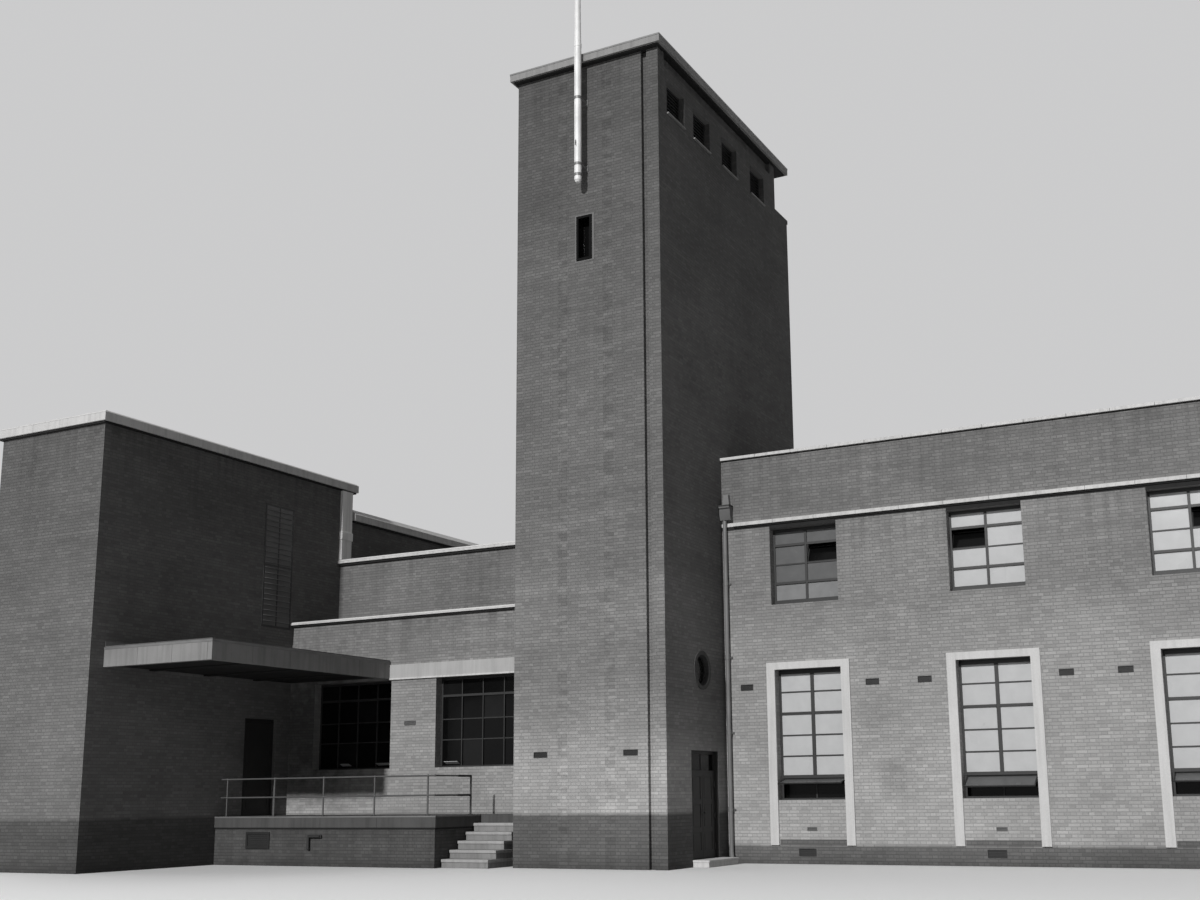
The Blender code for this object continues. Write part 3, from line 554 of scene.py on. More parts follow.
# risers darker than the treads: painted shade under the nosings
shaded_riser_concrete = mineral("shaded_riser_concrete", 136, 0.16, 60, 0.25)
floor_concrete = mineral("floor_concrete", 140, 0.14)
steel = paint("window_steel", 34, 0.45, 0.08)
dark_steel = paint("dark_steel", 38, 0.5, 0.08)
iron = paint("dark_iron", 34, 0.55, 0.2)
pipe_paint = paint("pipe_paint", 114, 0.5, 0.14)
vent_paint = paint("vent_paint", 96, 0.6, 0.1)
vent_frame = paint("vent_frame", 52, 0.6, 0.06)
rail_paint = paint("rail_paint", 84, 0.45, 0.2)
pole_paint = paint("pole_paint", 226, 0.35, 0.1)
zinc = paint("zinc", 120, 0.45, 0.15, 0.3)
frosted = glass("frosted_pane", 186, 0.25, 0.05)
hazy = glass("hazy_pane", 97, 0.22, shine=0.3)
hazy_pale = glass("hazy_pale_pane", 130, 0.22, shine=0.3)
dark_pane = glass("dark_pane", 12, 0.1, shine=0.16)
dim_pane = glass("dim_pane", 24, 0.12, shine=0.22)
door_timber = timber("door_timber", 38)
roof_felt = felt("roof_felt", 92)

# the part's own nodes that stay in view
NODE_MATERIALS = {
    tower_brick: ("tower_front_wall", "tower_right_wall", "tower_right_wall_low", "tower_left_wall",
                  "tower_right_wall_front_pier", "tower_rear_wall", "tower_rear_wall_top"),
    wing_brick: ("right_front_wall", "right_rear_wall", "right_end_wall", "right_inner_wall"),
    left_brick: ("left_front_wall", "left_rear_wall", "left_upper_wall"),
    block_brick: ("block_walls", "block_right_wall"),
    dock_brick: ("dock_base",),
    block_edge: ("block_corner_strip",),
    band_stone: ("left_lintel_band",),
    # the slit's surround takes the black pane colour: its reveals painted dark as shade
    dark_pane: ("slit_surround",),
    render: tuple(f"right_window_surround_{number}" for number in (1, 2, 3)),
    floor_concrete: ("tower_floor", "tower_top_floor", "left_floor", "block_floor",
                     "right_ground_floor", "right_first_floor"),
    roof_felt: ("right_roof",),
    door_timber: ("door_frame", "door_leaf_front", "door_leaf_rear", "dock_door_frame",
                  "dock_door_leaf"),
    dim_pane: ("round_window_glass",),
}
for material, names in NODE_MATERIALS.items():
    for name in names:
        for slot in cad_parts[name].material_slots:
            slot.material = material


# windows
PANES = [steel, frosted, hazy, dark_pane, hazy_pale]
FROSTED, HAZY, DARK, HAZY_PALE = 1, 2, 3, 4


def sash(shape, x, z, y, hinge, degrees, pane):
    """An opening light: its frame and pane, turned about its top or bottom edge."""
    turned = ("X", -degrees), (0, y, z[1] if hinge == "top" else z[0])
    rim, depth = 0.028, (y, y + 0.03)
    for edge in ends(z, rim):
        shape.box(x, depth, edge, 0, *turned)
    for side in ends(x, rim):
        shape.box(side, depth, inset(z, rim), 0, *turned)
    shape.box(inset(x, rim), (y + 0.012, y + 0.017), inset(z, rim), pane, *turned)


def casement(shape, xs, zs, y, pane, heavy=(), mullion=0.04, opened=None, bar=0.016, head=0.06):
    """A steel window: frame, bars and one pane in each light. xs and zs are the lines between them.

    pane(column, row) is the material's index, or None for the light that opened describes. heavy
    names the rows with thick bars.
    """
    rim = 0.045
    low, high = zs[0], zs[-1]
    across, columns = (xs[0], xs[-1]), len(xs) - 1
    for side in ends(across, rim):
        shape.box(side, (y, y + 0.055), (low, high))
    shape.box(inset(across, rim), (y, y + 0.055), (low, low + rim))
    # the head rail is deep and reaches forward, in the frame's dark paint: it stands in for the shadow
    # under the window head, painted shade
    shape.box(inset(across, rim), (y - 0.03, y + 0.055), (high - head, high))
    for x in xs[1:-1]:
        shape.box(about(x, mullion / 2), (y - 0.006, y + 0.05), (low + rim, high - rim))
    for row, z in enumerate(zs[1:-1], 1):
        half, near = (0.03, y - 0.012) if row in heavy else (bar, y + 0.006)
        for column in range(columns):
            start = xs[column] + (rim if column == 0 else mullion / 2)
            end = xs[column + 1] - (rim if column == columns - 1 else mullion / 2)
            shape.box((start, end), (near, y + 0.046), about(z, half))
    for column in range(columns):
        for row in range(len(zs) - 1):
            x, z = inset(xs[column:column + 2], 0.02), inset(zs[row:row + 2], 0.012)
            choice = pane(column, row)
            if choice is None:
                sash(shape, x, z, y + 0.012, *opened)
            else:
                lean = random.uniform(-0.25, 0.25)
                shape.box(x, (y + 0.026, y + 0.031), z, choice, ("X", lean), (0, y + 0.028, z[0]))


def lower_window(name, left, y, glass_node, tilt):
    """A tall window over a low light that hangs at a tilt, if any."""
    shape = Shape(name, *PANES)
    xs = [left + LOWER[0], left + 2.15, left + LOWER[1]]
    across, low_light = (xs[0], xs[-1]), (1.51, 1.968)
    casement(shape, xs, LOWER_ROWS, y, lambda *light: FROSTED, heavy=(3,), mullion=0.085, head=0.1)
    shape.box(across, (y - 0.006, y + 0.06), (low_light[1], 2.012))
    for side in ends(across, 0.045):
        shape.box(side, (y, y + 0.055), (LOWER_SILL, 1.97))
    shape.box(across, (y - 0.01, y + 0.06), (LOWER_SILL, low_light[0]))
    if tilt:
        sash(shape, inset(across, 0.05), (1.52, 1.96), y + 0.012, "top", tilt, HAZY)
    # dark panes behind the low light stand for the unlit room beyond: painted shade
    for x in ((xs[0] + 0.045, xs[1] - 0.02), (xs[1] + 0.02, xs[-1] - 0.045)):
        shape.box(x, (y + 0.11, y + 0.115), low_light, DARK)
    shape.box(about(xs[1], 0.02), (y + 0.09, y + 0.13), low_light)
    shape.build(glass_node)


def upper_window(name, left, y, glass_node, white, open_light):
    shape = Shape(name, *PANES)
    xs = [left + UPPER[0], left + 2.1, left + UPPER[1]]

    def pane(column, row):
        if (column, row) == open_light:
            return None
        if white:
            return FROSTED
        return HAZY_PALE if row == 0 else HAZY

    opened = ("bottom", 24, DARK)
    casement(shape, xs, UPPER_ROWS, y, pane, heavy=(1, 3), mullion=0.06, opened=opened, head=0.07)
    shape.box((xs[0], xs[-1]), (y - 0.02, y + 0.08), (UPPER_SILL, 6.205))
    shape.build(glass_node)


def big_window(name, left, y, glass_node, ajar):
    """A wide dark window. ajar are (x, width) of small lights hung open at its foot."""
    shape = Shape(name, dark_steel, frosted, hazy, dark_pane, dim_pane)
    dim = 4
    xs = [left + BIG_LIGHT * column for column in range(5)]

    def pane(column, row):
        return dim if (column + 2 * row) % 5 == 1 else DARK

    casement(shape, xs, BIG_ROWS, y, pane, heavy=(3,), mullion=0.03, bar=0.015)
    for x, width in ajar:
        across, depth = (left + x, left + x + width), (y - 0.15, y - 0.02)
        shape.box(across, depth, (2.47, 2.482), FROSTED, ("X", -24), (0, y - 0.02, 2.48))
    shape.build(glass_node)


def add_windows():
    front, back = WING_FRONT + GLASS_BACK, REAR - WALL + 0.04
    front_windows = zip(BAYS, (77, 58, 66), ((1, 2), (0, 2), (1, 2)))
    for number, (left, tilt, light) in enumerate(front_windows, 1):
        white = number > 1
        lower_window(f"lower_window_{number}", left, front, "right_lower_glass", tilt)
        upper_window(f"upper_window_{number}", left, front, "right_upper_glass", white, light)
        lower_window(f"rear_lower_window_{number}", left, back, "rear_lower_glass", 0)
        upper_window(f"rear_upper_window_{number}", left, back, "rear_upper_glass", True, (0, 2))
    for number, ajar in enumerate((((0.2, 0.42),), ((0.85, 0.3), (2.05, 0.42))), 1):
        left = BIG_LEFT + BIG_STEP * (number - 1)
        big_window(f"big_window_{number}", left, LEFT_FRONT + 0.26, "left_front_glass", ajar)
        big_window(f"rear_big_window_{number}", left, back, "rear_lower_glass", ())


# vents and ironwork on the walls
BESIDE_WINDOWS = (0.57, 3.73, 4.97, 8.13, 9.37, 12.53)
VENTS = (
    # name, places along the wall, height, (width, height), wall, side
    ("wall_vent", BESIDE_WINDOWS, 4.15, (0.32, 0.14), WING_FRONT, "front"),
    ("rear_vent", BESIDE_WINDOWS[1:], 4.15, (0.32, 0.14), REAR, "back"),
    ("floor_vent", [left + 2 for left in BAYS], 0.27, (0.42, 0.17), WING_FRONT, "front"),
    ("sill_vent", [left + 2.13 for left in BAYS], 0.8, (0.24, 0.08), WING_FRONT, "front"),
    ("tower_vent", (-3.26, -0.9), 2.56, (0.36, 0.13), 0, "front"),
    ("block_vent", (-2.6, 3.2, 9), 2.56, (0.36, 0.13), BLOCK_LEFT, "left"),
    ("end_vent", (5.4, 9.6), 4.15, (0.32, 0.14), WING_END, "right"),
    ("end_floor_vent", (5.4, 9.6), 0.27, (0.42, 0.17), WING_END, "right"),
    ("left_rear_vent", (-8.4, -2.4), 2.56, (0.36, 0.13), REAR, "back"),
)


def vent(name, middle, size, wall, side, slats=4, dark=iron):
    """An iron air grating on a wall: a frame, slats and a dark back plate, painted shade in the hole
    behind.
    """
    shape = Shape(name, dark)
    across, up = about(middle[0], size[0] / 2), about(middle[1], size[1] / 2)
    way = 1 if side in ("back", "right") else -1
    rim = 0.014

    def put(along, height, out=(0.003, 0.022)):
        depth = sorted((wall + way * out[0], wall + way * out[1]))
        plan = (along, depth) if side in ("front", "back") else (depth, along)
        shape.box(*plan, height)

    # the back plate stands for the dark hole behind the grating: painted shade
    put(across, up, (0.001, 0.004))
    border(put, across, up, rim)
    pitch = (size[1] - 2 * rim) / slats
    for index in range(slats):
        low = up[0] + rim + pitch * (index + 0.42)
        put(inset(across, rim), (low, low + pitch * 0.34), (0.004, 0.016))
    shape.build(bevel=0.002)


def add_vents():
    for name, places, height, size, wall, side in VENTS:
        slats, dark = (2, vent_paint) if name == "sill_vent" else (4, iron)
        for number, place in enumerate(places, 1):
            vent(f"{name}_{number}", (place, height), size, wall, side, slats, dark)
    vent("left_vent", (-8.5, 3.55), (0.36, 0.11), LEFT_FRONT, "front", dark=vent_paint)


def add_louvres():
    """Slatted openings under the tower's roof, with thin sills."""
    shape = Shape("tower_louvres", iron, canopy_concrete)
    up, rim = (18.05, 18.92), 0.05
    for start in (0.48, 2.01, 3.78, 5.71):
        along = (start, start + 1)
        border(lambda y, z: shape.box((-0.22, -0.13), y, z), along, up, rim)
        for index in range(9):
            z = up[0] + 0.09 + index * 0.088
            slat = (-0.225, -0.125), inset(along, rim), about(z, 0.005)
            shape.box(*slat, 0, ("Y", 38), (-0.175, 0, z))
        shape.box((-0.34, -0.335), along, up)
        shape.box((-0.12, 0.045), inset(along, 0.004), (up[0], up[0] + 0.045), 1)
    shape.build("tower_top_glass")


def add_slit():
    shape = Shape("slit_window", dark_pane)
    across, up, y, rim = (-2.219, -1.911), (14.531, 15.559), 0.22, 0.03
    border(lambda x, z: shape.box(x, (y, y + 0.04), z), across, up, rim)
    shape.box(inset(across, rim), (y + 0.015, y + 0.02), inset(up, rim))
    shape.build("slit_glass")
    margin = Shape("slit_margin", pale_brick)
    depth, sides, foot, head = (-0.01, -0.001), (-2.283, -1.847), (14.43, 14.467), (15.623, 15.66)
    for x in ((-2.325, sides[0]), (sides[1], -1.79)):
        margin.box(x, depth, (foot[0], head[1]))
    for z in (foot, head):
        margin.box(sides, depth, z)
    margin.build(bevel=0.002)


def add_round_window():
    """A ring of header bricks round a small steel window."""
    ring = Shape("round_brick_ring", ring_brick, iron)
    y, z = 1.93, 4.5
    bricks, sides = 34, 48
    for index in range(bricks):
        made = ops.create_cube(ring.bm, size=1)["verts"]
        ops.scale(ring.bm, verts=made, vec=(0.2, 0.073, 0.096))
        for vert in made:
            vert.co.y *= 1 + (0.09 if vert.co.z > 0 else -0.12)
        ops.translate(ring.bm, verts=made, vec=(-0.074, 0, 0.411))
        ring._turn(made, ("X", 360 / bricks * index))
        ops.translate(ring.bm, verts=made, vec=(0, y, z))
        ring._mark(made, 0)
    outer, inner = 0.359, 0.325
    for index in range(sides):
        first, after = (radians(360 / sides * (index + step)) for step in (0, 1))
        corners = ((outer, first), (outer, after), (inner, after), (inner, first))
        outline = [(y + radius * cos(angle), z + radius * sin(angle)) for radius, angle in corners]
        ring.prism(outline, -0.13, -0.085, "x", 1)
    ring.box((-0.128, -0.108), about(y, 0.33), about(z, 0.008), 1)
    ring.build("round_window_ring")


def add_roof_slab():
    """The tower's roof: a slab in cast sections over a set-back bed dark as painted shade, a metal
    edge and felt.
    """
    slab = Shape("tower_roof", slab_concrete, zinc, roof_felt, shade_stone)
    x, y = (-4.14, 0.14), (-0.2, 8.3)
    slab.box(inset(x, 0.07), inset(y, 0.07), (19.6003, 19.645), 3)
    cuts = [y[0], 1.5, 3.2, 4.9, 6.6, y[1]]
    for section in zip(cuts, cuts[1:]):
        slab.box(x, inset(section, 0.003), (19.635, 19.835))
    slab.box(inset(x, -0.006), inset(y, -0.006), (19.8, 19.846), 1)
    slab.box(inset(x, 0.03), inset(y, 0.03), (19.84, 19.86), 2)
    slab.build("tower_roof_slab", bevel=0.006)


def add_pole():
    """A tapered pole with a ball and a cleat, on two brackets."""
    pole = Shape("flag_pole", pole_paint, zinc, vent_paint)
    x, y = -2.06, -0.32
    for low, high, radius, tip, sides in (
        (16.37, 16.42, 0.055, 0.082, 20),
        (16.42, 19.98, 0.09, 0.088, 32),
        (19.98, 20.06, 0.094, 0.094, 32),
        (20.06, 23.06, 0.084, 0.056, 32),
        (23.06, 23.09, 0.085, 0.085, 20),
    ):
        pole.post(x, y, (low, high), radius, tip=tip, sides=sides)
    pole.ball((x, y, 23.145), 0.055)
    brackets = (16.84, 18.6)
    for z in (16.56, *brackets):
        pole.post(x, y, about(z, 0.035), 0.099, 1, sides=32)
    for z in brackets:
        for side in (-0.06, 0.06):
            pole.box(about(x + side, 0.009), (y, -0.012), about(z, 0.03), 1)
        pole.box(about(x, 0.12), (-0.014, -0.001), about(z, 0.08), 2)
        for bolt_x in about(x, 0.09):
            for bolt_z in about(z, 0.05):
                pole.rod((bolt_x, -0.028, bolt_z), (bolt_x, -0.01, bolt_z), 0.013, 1, sides=6)
    pole.box(about(x, 0.01), (y - 0.13, y - 0.07), (17.36, 17.38), 1)
    pole.box(about(x, 0.01), (y - 0.13, y - 0.115), (17.3, 17.44), 1)
    pole.build("flagpole", bevel=0.002)


# right wing
def add_margin_plinths():
    """Dark brick at the foot of the wall between the legs of each window margin."""
    plinth = Shape("margin_plinths", plinth_brick)
    for left in BAYS:
        depth = (WING_FRONT - 0.006, WING_FRONT - 0.0005)
        plinth.box((left + 1.325, left + 2.965), depth, (0.425, 0.56))
    plinth.build(bevel=0.002)


def add_string_course():
    """Weathered stone lengths over a dark bed, and dark strips on the wall under it that reach down to
    the upper windows' heads: painted shade under the course.
    """
    face, back = WING_FRONT - 0.09, WING_FRONT - 0.0003
    start, foot = 0.32, 8.06
    course = Shape("string_course", stone, shade_stone)
    top = [(face, 8.138), (face, 8.215), (face + 0.03, 8.232), (back, 8.24), (back, 8.138)]
    bed = [(face + 0.05, 8.1), (face + 0.05, 8.142), (back, 8.142), (back, 8.1)]
    for part in lengths(start, WING_END, 1.1, 0.003):
        course.prism(top, *part)
    course.prism(bed, start, WING_END, "x", 1)
    # a dark strip on the wall below the bed: painted shadow of the course
    course.box((start, WING_END - 0.002), (WING_FRONT - 0.005, back), (foot - 0.002, 8.102), 1)
    # dark strips down to the upper windows' heads: painted shade
    for left in BAYS:
        across = (left + UPPER[0], left + UPPER[1])
        course.box(across, (WING_FRONT - 0.006, back), (UPPER_HEAD, foot), 1)
    course.build("right_string_course")
    stub, across = Shape("string_course_end", stone, shade_stone), (0.003, start - 0.003)
    stub.box(across, (WING_FRONT - 0.032, back), (8.145, 8.236))
    stub.box(across, (WING_FRONT - 0.016, back), (foot, 8.147), 1)
    stub.build()


def add_coping():
    """Saddleback coping stones over a set-back bed, dark as painted shade, and lead flashings inside
    the parapet.
    """
    coping = Shape("parapet_coping", stone, shade_stone, zinc)
    low, rise, edge, high = 9.8203, 9.85, 9.922, 9.94
    over, deep = 0.07, WALL + 0.14
    front, back = WING_FRONT - over, REAR + over

    def stones(first, second, start, end, along):
        middle = (first + second) / 2
        top = [(first, rise), (first, edge), (middle, high), (second, edge), (second, rise)]
        for part in lengths(start, end, 0.92, 0.0035):
            coping.prism(top, *part, along)
        near, far = inset((first, second), 0.055)
        bed = [(near, low), (near, rise + 0.002), (far, rise + 0.002), (far, low)]
        coping.prism(bed, *inset((start, end), 0.004), along, 1)

    for outer in (front, back - deep):
        stones(outer, outer + deep, 0.001, WING_END + over, "x")
    stones(WING_END - WALL - over, WING_END + over, front + deep, back - deep, "y")
    stones(0.001, WALL, TOWER_BACK, back - deep, "y")
    upstand = (9.2, 9.42)
    inner = inset((WING_FRONT, REAR), WALL)
    for y in (inner[0] + 0.0005, inner[0] + 0.008), (inner[1] - 0.008, inner[1] - 0.0005):
        coping.box((0.36, WING_END - 0.36), y, upstand, 2)
    end_wall = WING_END - WALL
    coping.box((end_wall - 0.009, end_wall - 0.001), inset(inner, 0.01), upstand, 2)
    coping.box((0.003, 0.011), (inner[0] + 0.01, TOWER_BACK), upstand, 2)
    coping.build("right_coping", bevel=0.004)


def add_rain_pipe():
    """A pipe with collars and a shoe, its hopper and the outlet above."""
    pipe = Shape("downpipe", pipe_paint, iron, vent_paint)
    wall = WING_FRONT - 0.001
    x, y = 0.11, WING_FRONT - 0.09
    pipe.post(x, y, (0.22, 8.31), 0.05, sides=24)
    pipe.rod((x, y, 0.24), (x + 0.06, y - 0.1, 0.05), 0.052, sides=24)
    pipe.ball((x, y, 0.235), 0.054)
    for z in (1.2, 3.02, 4.84, 6.66):
        pipe.post(x, y, (z, z + 0.1), 0.06, sides=24)
        pipe.post(x, y, (z + 0.095, z + 0.115), 0.064, sides=24)
        pipe.box(about(x, 0.105), (y + 0.045, wall), (z + 0.03, z + 0.075))
        for bolt in about(x, 0.085):
            pipe.rod((bolt, y + 0.035, z + 0.052), (bolt, y + 0.055, z + 0.052), 0.012, 1, sides=8)
    hopper = ((0.24, 8.66), (0.24, 8.6), (0.2, 8.58), (0.19, 8.42), (0.15, 8.3))
    outline = [(WING_FRONT - out, z) for out, z in hopper] + [(wall, 8.3), (wall, 8.66)]
    pipe.prism(outline, 0.012, 0.3, "x", 2)
    pipe.box((0.002, 0.31), (WING_FRONT - 0.25, wall), (8.645, 8.675), 1)
    pipe.prism([(0.07, 8.66), (0.25, 8.66), (0.22, 8.96), (0.09, 8.96)], WING_FRONT - 0.11, wall, "y")
    pipe.build("rain_pipe", "rainwater_head", bevel=0.004)


def add_rear_pipes():
    """Plain rainwater pipes with square heads on the rear walls."""
    pipes = Shape("rear_pipes", pipe_paint, iron, vent_paint)
    y, wall = REAR + 0.062, REAR + 0.001
    for x, top in ((-12.95, 9.36), (-0.32, 7.96), (13.45, 9.1)):
        pipes.post(x, y, (0.16, top), 0.048, sides=24)
        pipes.box(about(x, 0.13), (wall, REAR + 0.112), (top - 0.02, top + 0.2), 2)
        pipes.box(about(x, 0.145), (wall, REAR + 0.118), (top + 0.18, top + 0.22), 1)
        for z in (0.9, 2.8, 4.7, 6.6):
            pipes.post(x, y, (z, z + 0.09), 0.054, sides=24)
            pipes.box(about(x, 0.1), (wall, REAR + 0.03), (z + 0.02, z + 0.06))
    pipes.build()


# left wing, block, canopy and dock
def flat_roof(name, forms, low, high, drop, edge, fall=0.045):
    """A flat roof: a set-back bed as high as drop, dark as painted shade, an edge in lengths, a rim
    that slopes by fall, and felt. forms are plans (x, y, sides that stand free)."""
    roof = Shape(name, edge, shade_stone, zinc, roof_felt)
    for x, y, free in forms:
        loose = [1 if side in free else 0 for side in ("left", "right", "front", "back")]

        def plan(by):
            """The plan, drawn in on its free sides."""
            left, right, front, back = (by * side for side in loose)
            return (x[0] + left, x[1] - right), (y[0] + front, y[1] - back)

        roof.box(*plan(0.05), (low, low + drop + 0.002), 1)
        lengthwise = x[1] - x[0] > y[1] - y[0]
        for joint in lengths(*(x if lengthwise else y), 1.5, 0.0015):
            size = (joint, y) if lengthwise else (x, joint)
            roof.box(*size, (low + drop, high - fall))
        roof.slope(*plan(-0.008), (high - fall - 0.005, high - 0.004), [fall * side for side in loose])
        roof.box(*plan(fall + 0.03), (high - 0.02, high + 0.002), 3)
    return roof


def add_left_roofs():
    tower, block = -4.0003, LEFT_END + 0.0003
    tower_flashing = (-4.012, -4.004)
    plans = [((block, tower), (1.88, 3.9197), ("front",))]
    low = flat_roof("low_roof", plans, 6.3303, 6.46, 0.045, stone)
    low.box((block, tower), (3.9199, 4.2597), (6.3303, 6.4597), 1)
    upstand = (6.455, 6.62)
    low.box((-12.59, -4.01), (3.905, 3.9185), upstand, 2)
    low.box(tower_flashing, (1.9, 3.9), upstand, 2)
    low.build("left_low_roof", bevel=0.004)
    plans = [
        ((block, tower), (3.8, TOWER_BACK), ("front",)),
        ((block, -0.0003), (TOWER_BACK + 0.0005, 11.82), ("back",)),
    ]
    upper = flat_roof("upper_roof", plans, 8.3403, 8.52, 0.06, stone)
    upstand = (8.515, 8.68)
    upper.box(tower_flashing, (3.9, 8.46), upstand, 2)
    upper.box((-4, -0.02), (8.4735, 8.482), upstand, 2)
    upper.box((-12.596, -12.588), (4.4, 11.6), upstand, 2)
    upper.build("left_upper_roof", bevel=0.004)
    across = (-16.32, -12.48)
    plans = [(across, (-5.02, 4.52), ("left", "right", "front", "back"))]
    near = flat_roof("block_roof", plans, 10.6003, 10.9, 0.045, roof_edge, 0.05)
    near.box((-15.8597, -12.9403), (4.06, 4.4), (9.34, 10.605), 1)
    near.build("block_near_roof", bevel=0.005)
    plans = [(across, (4.4003, 11.82), ("left", "right", "back"))]
    far = flat_roof("block_rear_roof", plans, 9.7403, 10.14, 0.05, roof_edge, 0.16)
    far.build("block_far_roof", bevel=0.005)


def add_block_details():
    """Two bands of louvres in a frame, and the corner strip's collar."""
    panel = Shape("block_ventilator", vent_paint, vent_frame)
    along, up, wall = (0.72, 1.86), (6.25, 9.66), LEFT_END + 0.002

    def bars(span):
        first, last = ends(span, 0.05)
        return first, about(sum(span) / 2, 0.02), last

    for y in bars(along):
        panel.box((wall, wall + 0.01), y, up, 1)
    for z in bars(up):
        panel.box((wall, wall + 0.011), along, z, 1)
    panel.box((LEFT_END + 0.001, LEFT_END + 0.006), along, up)
    rows = 22
    for index in range(rows):
        z = up[0] + 0.09 + (up[1] - up[0] - 0.18) * (index + 0.5) / rows
        slat = (wall, LEFT_END + 0.04), inset(along, 0.06), about(z, 0.006)
        panel.box(*slat, 0, ("Y", 35), (LEFT_END + 0.021, 0, z))
    panel.build(bevel=0.002)
    collar = Shape("strip_collars", block_edge)
    collar.box((-12.599, -12.475), (3.815, 4.305), (9.13, 9.37))
    collar.build(bevel=0.01)


def add_lintel_bead():
    """A pale lip in lengths along the foot of the band over the left windows."""
    lip = Shape("lintel_lip", stone)
    for part in lengths(-9.175, -4.002, 1.7, 0.002):
        lip.box(part, (1.944, 1.959), (4.701, 4.745))
    lip.build()


def add_canopy():
    """A concrete edge in lengths, a ribbed underside dark as painted shade, and felt."""
    canopy = Shape("canopy_cover", canopy_concrete, zinc, roof_felt, shade_stone)
    left, right, front, back = LEFT_END + 0.0005, -9.18, -4.5, LEFT_FRONT - 0.0005
    edge, height = 0.14, (4.73, 5.175)
    inner = (left, right - 0.03), (front + 0.03, back)
    canopy.box(*inner, (4.78, 5.14), 3)
    for part in lengths(front, back, 1.3, 0.003):
        canopy.box((right - edge, right), part, height)
    for part in lengths(left, right - edge, 1.13, 0.003):
        canopy.box(part, (front, front + edge), height)
    canopy.box((left, right + 0.008), (front - 0.008, back), (5.14, 5.2), 1)
    canopy.box(*inner, (5.19, 5.23), 2)
    for y in (-3, -1.2, 0.6):
        canopy.box((left, right - edge), about(y, 0.09), (4.742, 4.79), 3)
    canopy.box((left + 0.004, left + 0.012), (front + 0.02, back), (5.2, 5.34), 1)
    canopy.build("canopy", bevel=0.005)


DOCK_LEFT, DOCK_RIGHT, DOCK_FRONT = LEFT_END + 0.0003, -5.76, -0.62


def add_dock_slab():
    """Edge stones over a set-back bed dark as painted shade, with a metal nosing."""
    wall, tower, out = LEFT_FRONT - 0.0003, -4.0003, 0.04
    left, right, front = DOCK_LEFT, DOCK_RIGHT, DOCK_FRONT
    thick, bed, nosing = (0.925, 1.1995), (0.8803, 0.93), (1.165, 1.2005)
    slab = Shape("dock_top", dock_edge, zinc, shade_stone)
    for part in lengths(left, right + out, 1.55, 0.002):
        slab.box(part, (front - out, wall), thick)
    slab.box((right + out, tower), (1.27 - out, wall), thick)
    slab.box((left, right + 0.01), (front - 0.01, wall), bed, 2)
    slab.box((right + 0.01, tower), (1.26, wall), bed, 2)
    slab.box((left, right + out + 0.004), (front - out - 0.004, front - out + 0.05), nosing, 1)
    slab.box((right + out - 0.05, right + out + 0.004), (front - out, 1.22), nosing, 1)
    slab.build("dock_slab", bevel=0.006)


def add_steps():
    steps = Shape("dock_steps", tread_concrete, shaded_riser_concrete)
    rise, going, thick = 0.2, 0.33, 0.07
    left, right, back = -5.7197, -4.42, 1.2297
    for number in range(5, 0, -1):
        near, top = back - going * (6 - number), rise * number
        # the set-back risers take the darker concrete, painted shade under each nosing
        steps.box((left, right), (near + 0.025, back), (top - rise, top - thick + 0.005), 1)
        steps.box((left, right + 0.01), (near, back), (top - thick, top - 0.0005))
    steps.build("dock_stairs", bevel=0.01)

    doorstep = Shape("door_steps", step_concrete)
    doorstep.box((0.0005, 0.4), (1.27, 2.91), (0, 0.115))
    doorstep.box((0.0005, 0.415), (1.255, 2.925), (0.11, 0.16))
    doorstep.build("door_step", bevel=0.008)


def add_railing():
    """Two rails along the dock's front and round to the stairs."""
    rail = Shape("dock_railing", rail_paint, iron)
    y, foot = DOCK_FRONT + 0.08, DOCK_TOP + 0.0005
    start, end = inset((DOCK_LEFT, DOCK_RIGHT), 0.08)
    heights = (DOCK_TOP + 0.93, DOCK_TOP + 0.47)
    for z in heights:
        rail.rod((start, y, z), (end, y, z), 0.02, sides=16)
    for index in range(5):
        x = start + 0.2 + (end - start - 0.4) * index / 4
        rail.post(x, y, (foot, 2.13), 0.021, sides=16)
        rail.post(x, y, (foot, 1.216), 0.06, 1)
        for z in heights:
            rail.ball((x, y, z), 0.031)
    bend, stairs = 0.4, 0.95
    for z in heights:
        rail.ball((end, y, z), 0.029)
        rail.rod((end, y, z), (end, bend, z), 0.02, sides=16)
        # the return's far half is in dark iron: a darker copy of the rail, painted shade
        rail.rod((end, bend, z), (end, stairs, z), 0.026, 1, sides=16)
    rail.post(end, stairs, (foot, 2.15), 0.024, sides=16)
    rail.post(end, stairs, (foot, 1.216), 0.058, 1)
    rail.build("dock_rail", bevel=0)


def add_dock_ironwork():
    """A bent pipe and a grating on the dock's front."""
    work = Shape("dock_ironwork", iron, steel)
    wall, out = DOCK_FRONT - 0.001, DOCK_FRONT - 0.05
    foot, bend, end = (-9.5, 0.42), (-9.5, 0.715), (-9.14, 0.715)
    work.post(foot[0], out, (0.4, 0.71), 0.035, sides=14)
    work.ball((bend[0], out, bend[1]), 0.037)
    work.rod((bend[0], out, bend[1]), (end[0], out, end[1]), 0.035, sides=14)
    for x, z in (end, foot):
        work.rod((x, out, z), (x, wall, z), 0.042, sides=14)
    depth, rim = (DOCK_FRONT - 0.03, wall), 0.06
    for x in (-11.54, -10.83):
        work.box((x, x + rim), depth, (0.41, 0.82), 1)
    across = (-11.48, -10.83)
    for z in (0.41, 0.76):
        work.box(across, depth, (z, z + rim), 1)
    work.box(across, (DOCK_FRONT - 0.012, wall), (0.47, 0.76))
    for index in range(5):
        z = 0.5 + index * 0.053
        work.box(inset(across, 0.02), (DOCK_FRONT - 0.022, DOCK_FRONT - 0.01), (z, z + 0.02), 1)
    work.build()


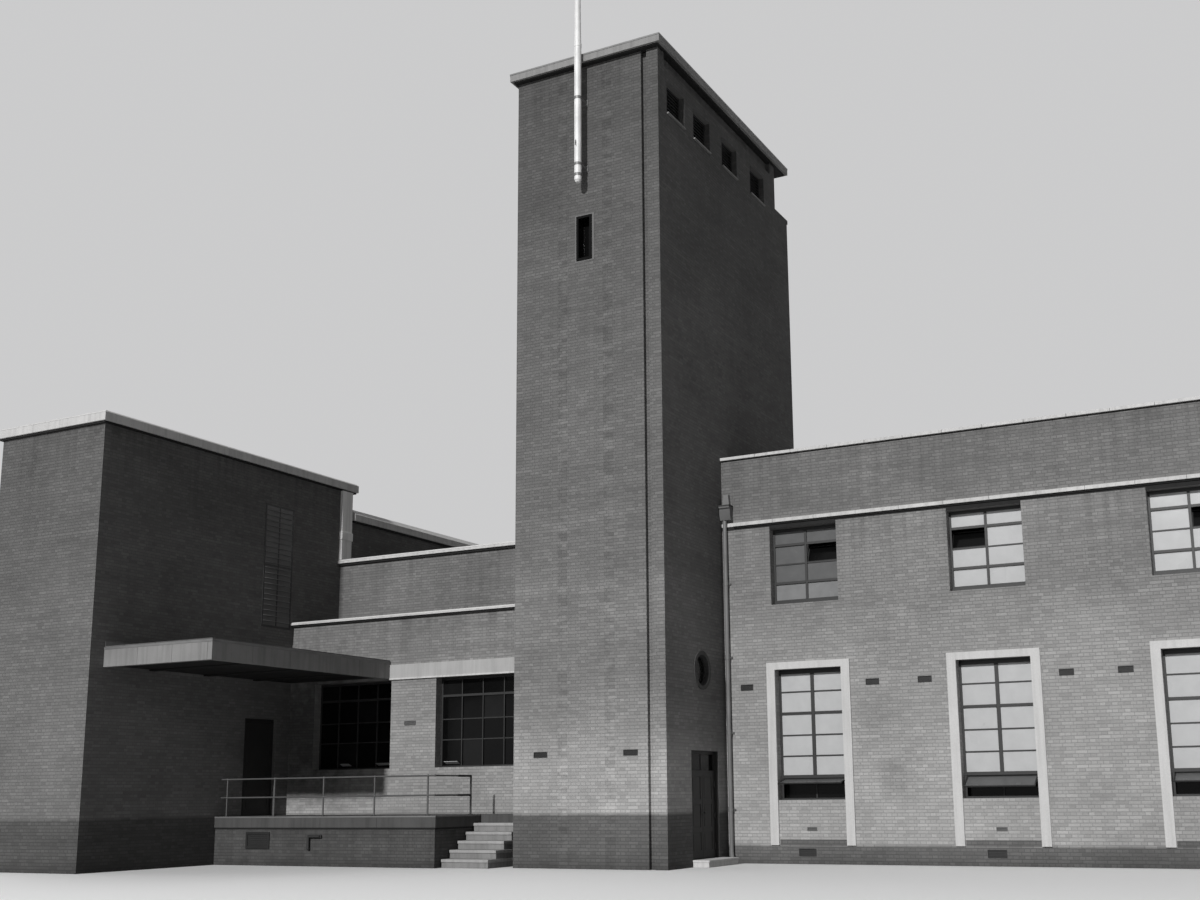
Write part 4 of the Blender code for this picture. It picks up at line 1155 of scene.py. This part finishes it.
# doors
def dress_leaf(name, body, wall, hinge_edge, free_edge, low, high, panels):
    """Rails, stiles, sunk panels, a kicking plate and a handle on a leaf's outer face."""
    leaf = Shape(name, door_timber, iron)
    face = wall - 0.1
    way = 1 if free_edge > hinge_edge else -1
    start, end = hinge_edge + way * 0.062, free_edge - way * 0.004
    stile, half, thick = 0.085, 0.055, 0.012
    up = inset((low, high), 0.01)

    def put(a, b, z, out=(0, thick), material=0):
        leaf.box((face - 0.001 + out[0], face + out[1]), sorted((a, b)), z, material)

    put(start, start + way * stile, up)
    put(end - way * stile, end, up)
    heights = split(*up, (high - low) / panels)
    for z in heights:
        put(start + way * stile, end - way * stile, (max(up[0], z - half), min(up[1], z + half)))
    sunk = stile + 0.03
    for span in zip(heights, heights[1:]):
        put(start + way * sunk, end - way * sunk, inset(span, 0.085), (0, 0.007))
    put(start, end, (low + 0.012, low + 0.19), (thick, 0.0145), 1)
    grip, hand = end - way * 0.045, low + 1.04
    put(grip - way * 0.02, grip + way * 0.02, (low + 0.92, low + 1.12), (thick, 0.016), 1)
    leaf.rod((face + thick, grip, hand), (face + 0.05, grip, hand), 0.009, 1, sides=12)
    leaf.rod((face + 0.047, grip, hand), (face + 0.047, grip - way * 0.11, hand), 0.009, 1, sides=12)
    leaf.build(body=body, bevel=0.002)


def add_doors():
    """The three leaves' panels, and the trim of the side door."""
    dress_leaf("door_front_panels", "door_leaf_front", 0, 1.346, 2.012, 0.166, 2.094, 3)
    dress_leaf("door_rear_panels", "door_leaf_rear", 0, 2.684, 2.018, 0.166, 2.094, 3)
    dress_leaf("dock_door_panels", "dock_door_leaf", LEFT_END, 0.356, 1.404, 1.2063, 3.674, 4)
    trims = Shape("door_trims", door_timber, dark_pane, iron)
    trims.box((-0.098, -0.09), (1.34, 2.69), (2.06, 2.115))
    trims.box((-0.14, -0.112), (2.003, 2.027), (2.17, 2.55))
    for y in ((1.345, 1.99), (2.04, 2.685)):
        trims.box((-0.134, -0.126), y, (2.175, 2.545), 1)
    trims.box((-0.0995, -0.06), (1.345, 2.685), (0.1605, 0.1655), 2)
    trims.box((-0.0995, -0.002), (2.7405, 2.7595), (0.1605, 2.619))
    trims.build(bevel=0.002)


for add in (
    add_windows, add_vents, add_louvres, add_slit, add_round_window, add_roof_slab, add_pole,
    add_margin_plinths, add_string_course, add_coping, add_rain_pipe, add_rear_pipes, add_left_roofs,
    add_block_details, add_lintel_bead, add_canopy, add_dock_slab, add_steps, add_railing,
    add_dock_ironwork, add_doors,
):
    add()
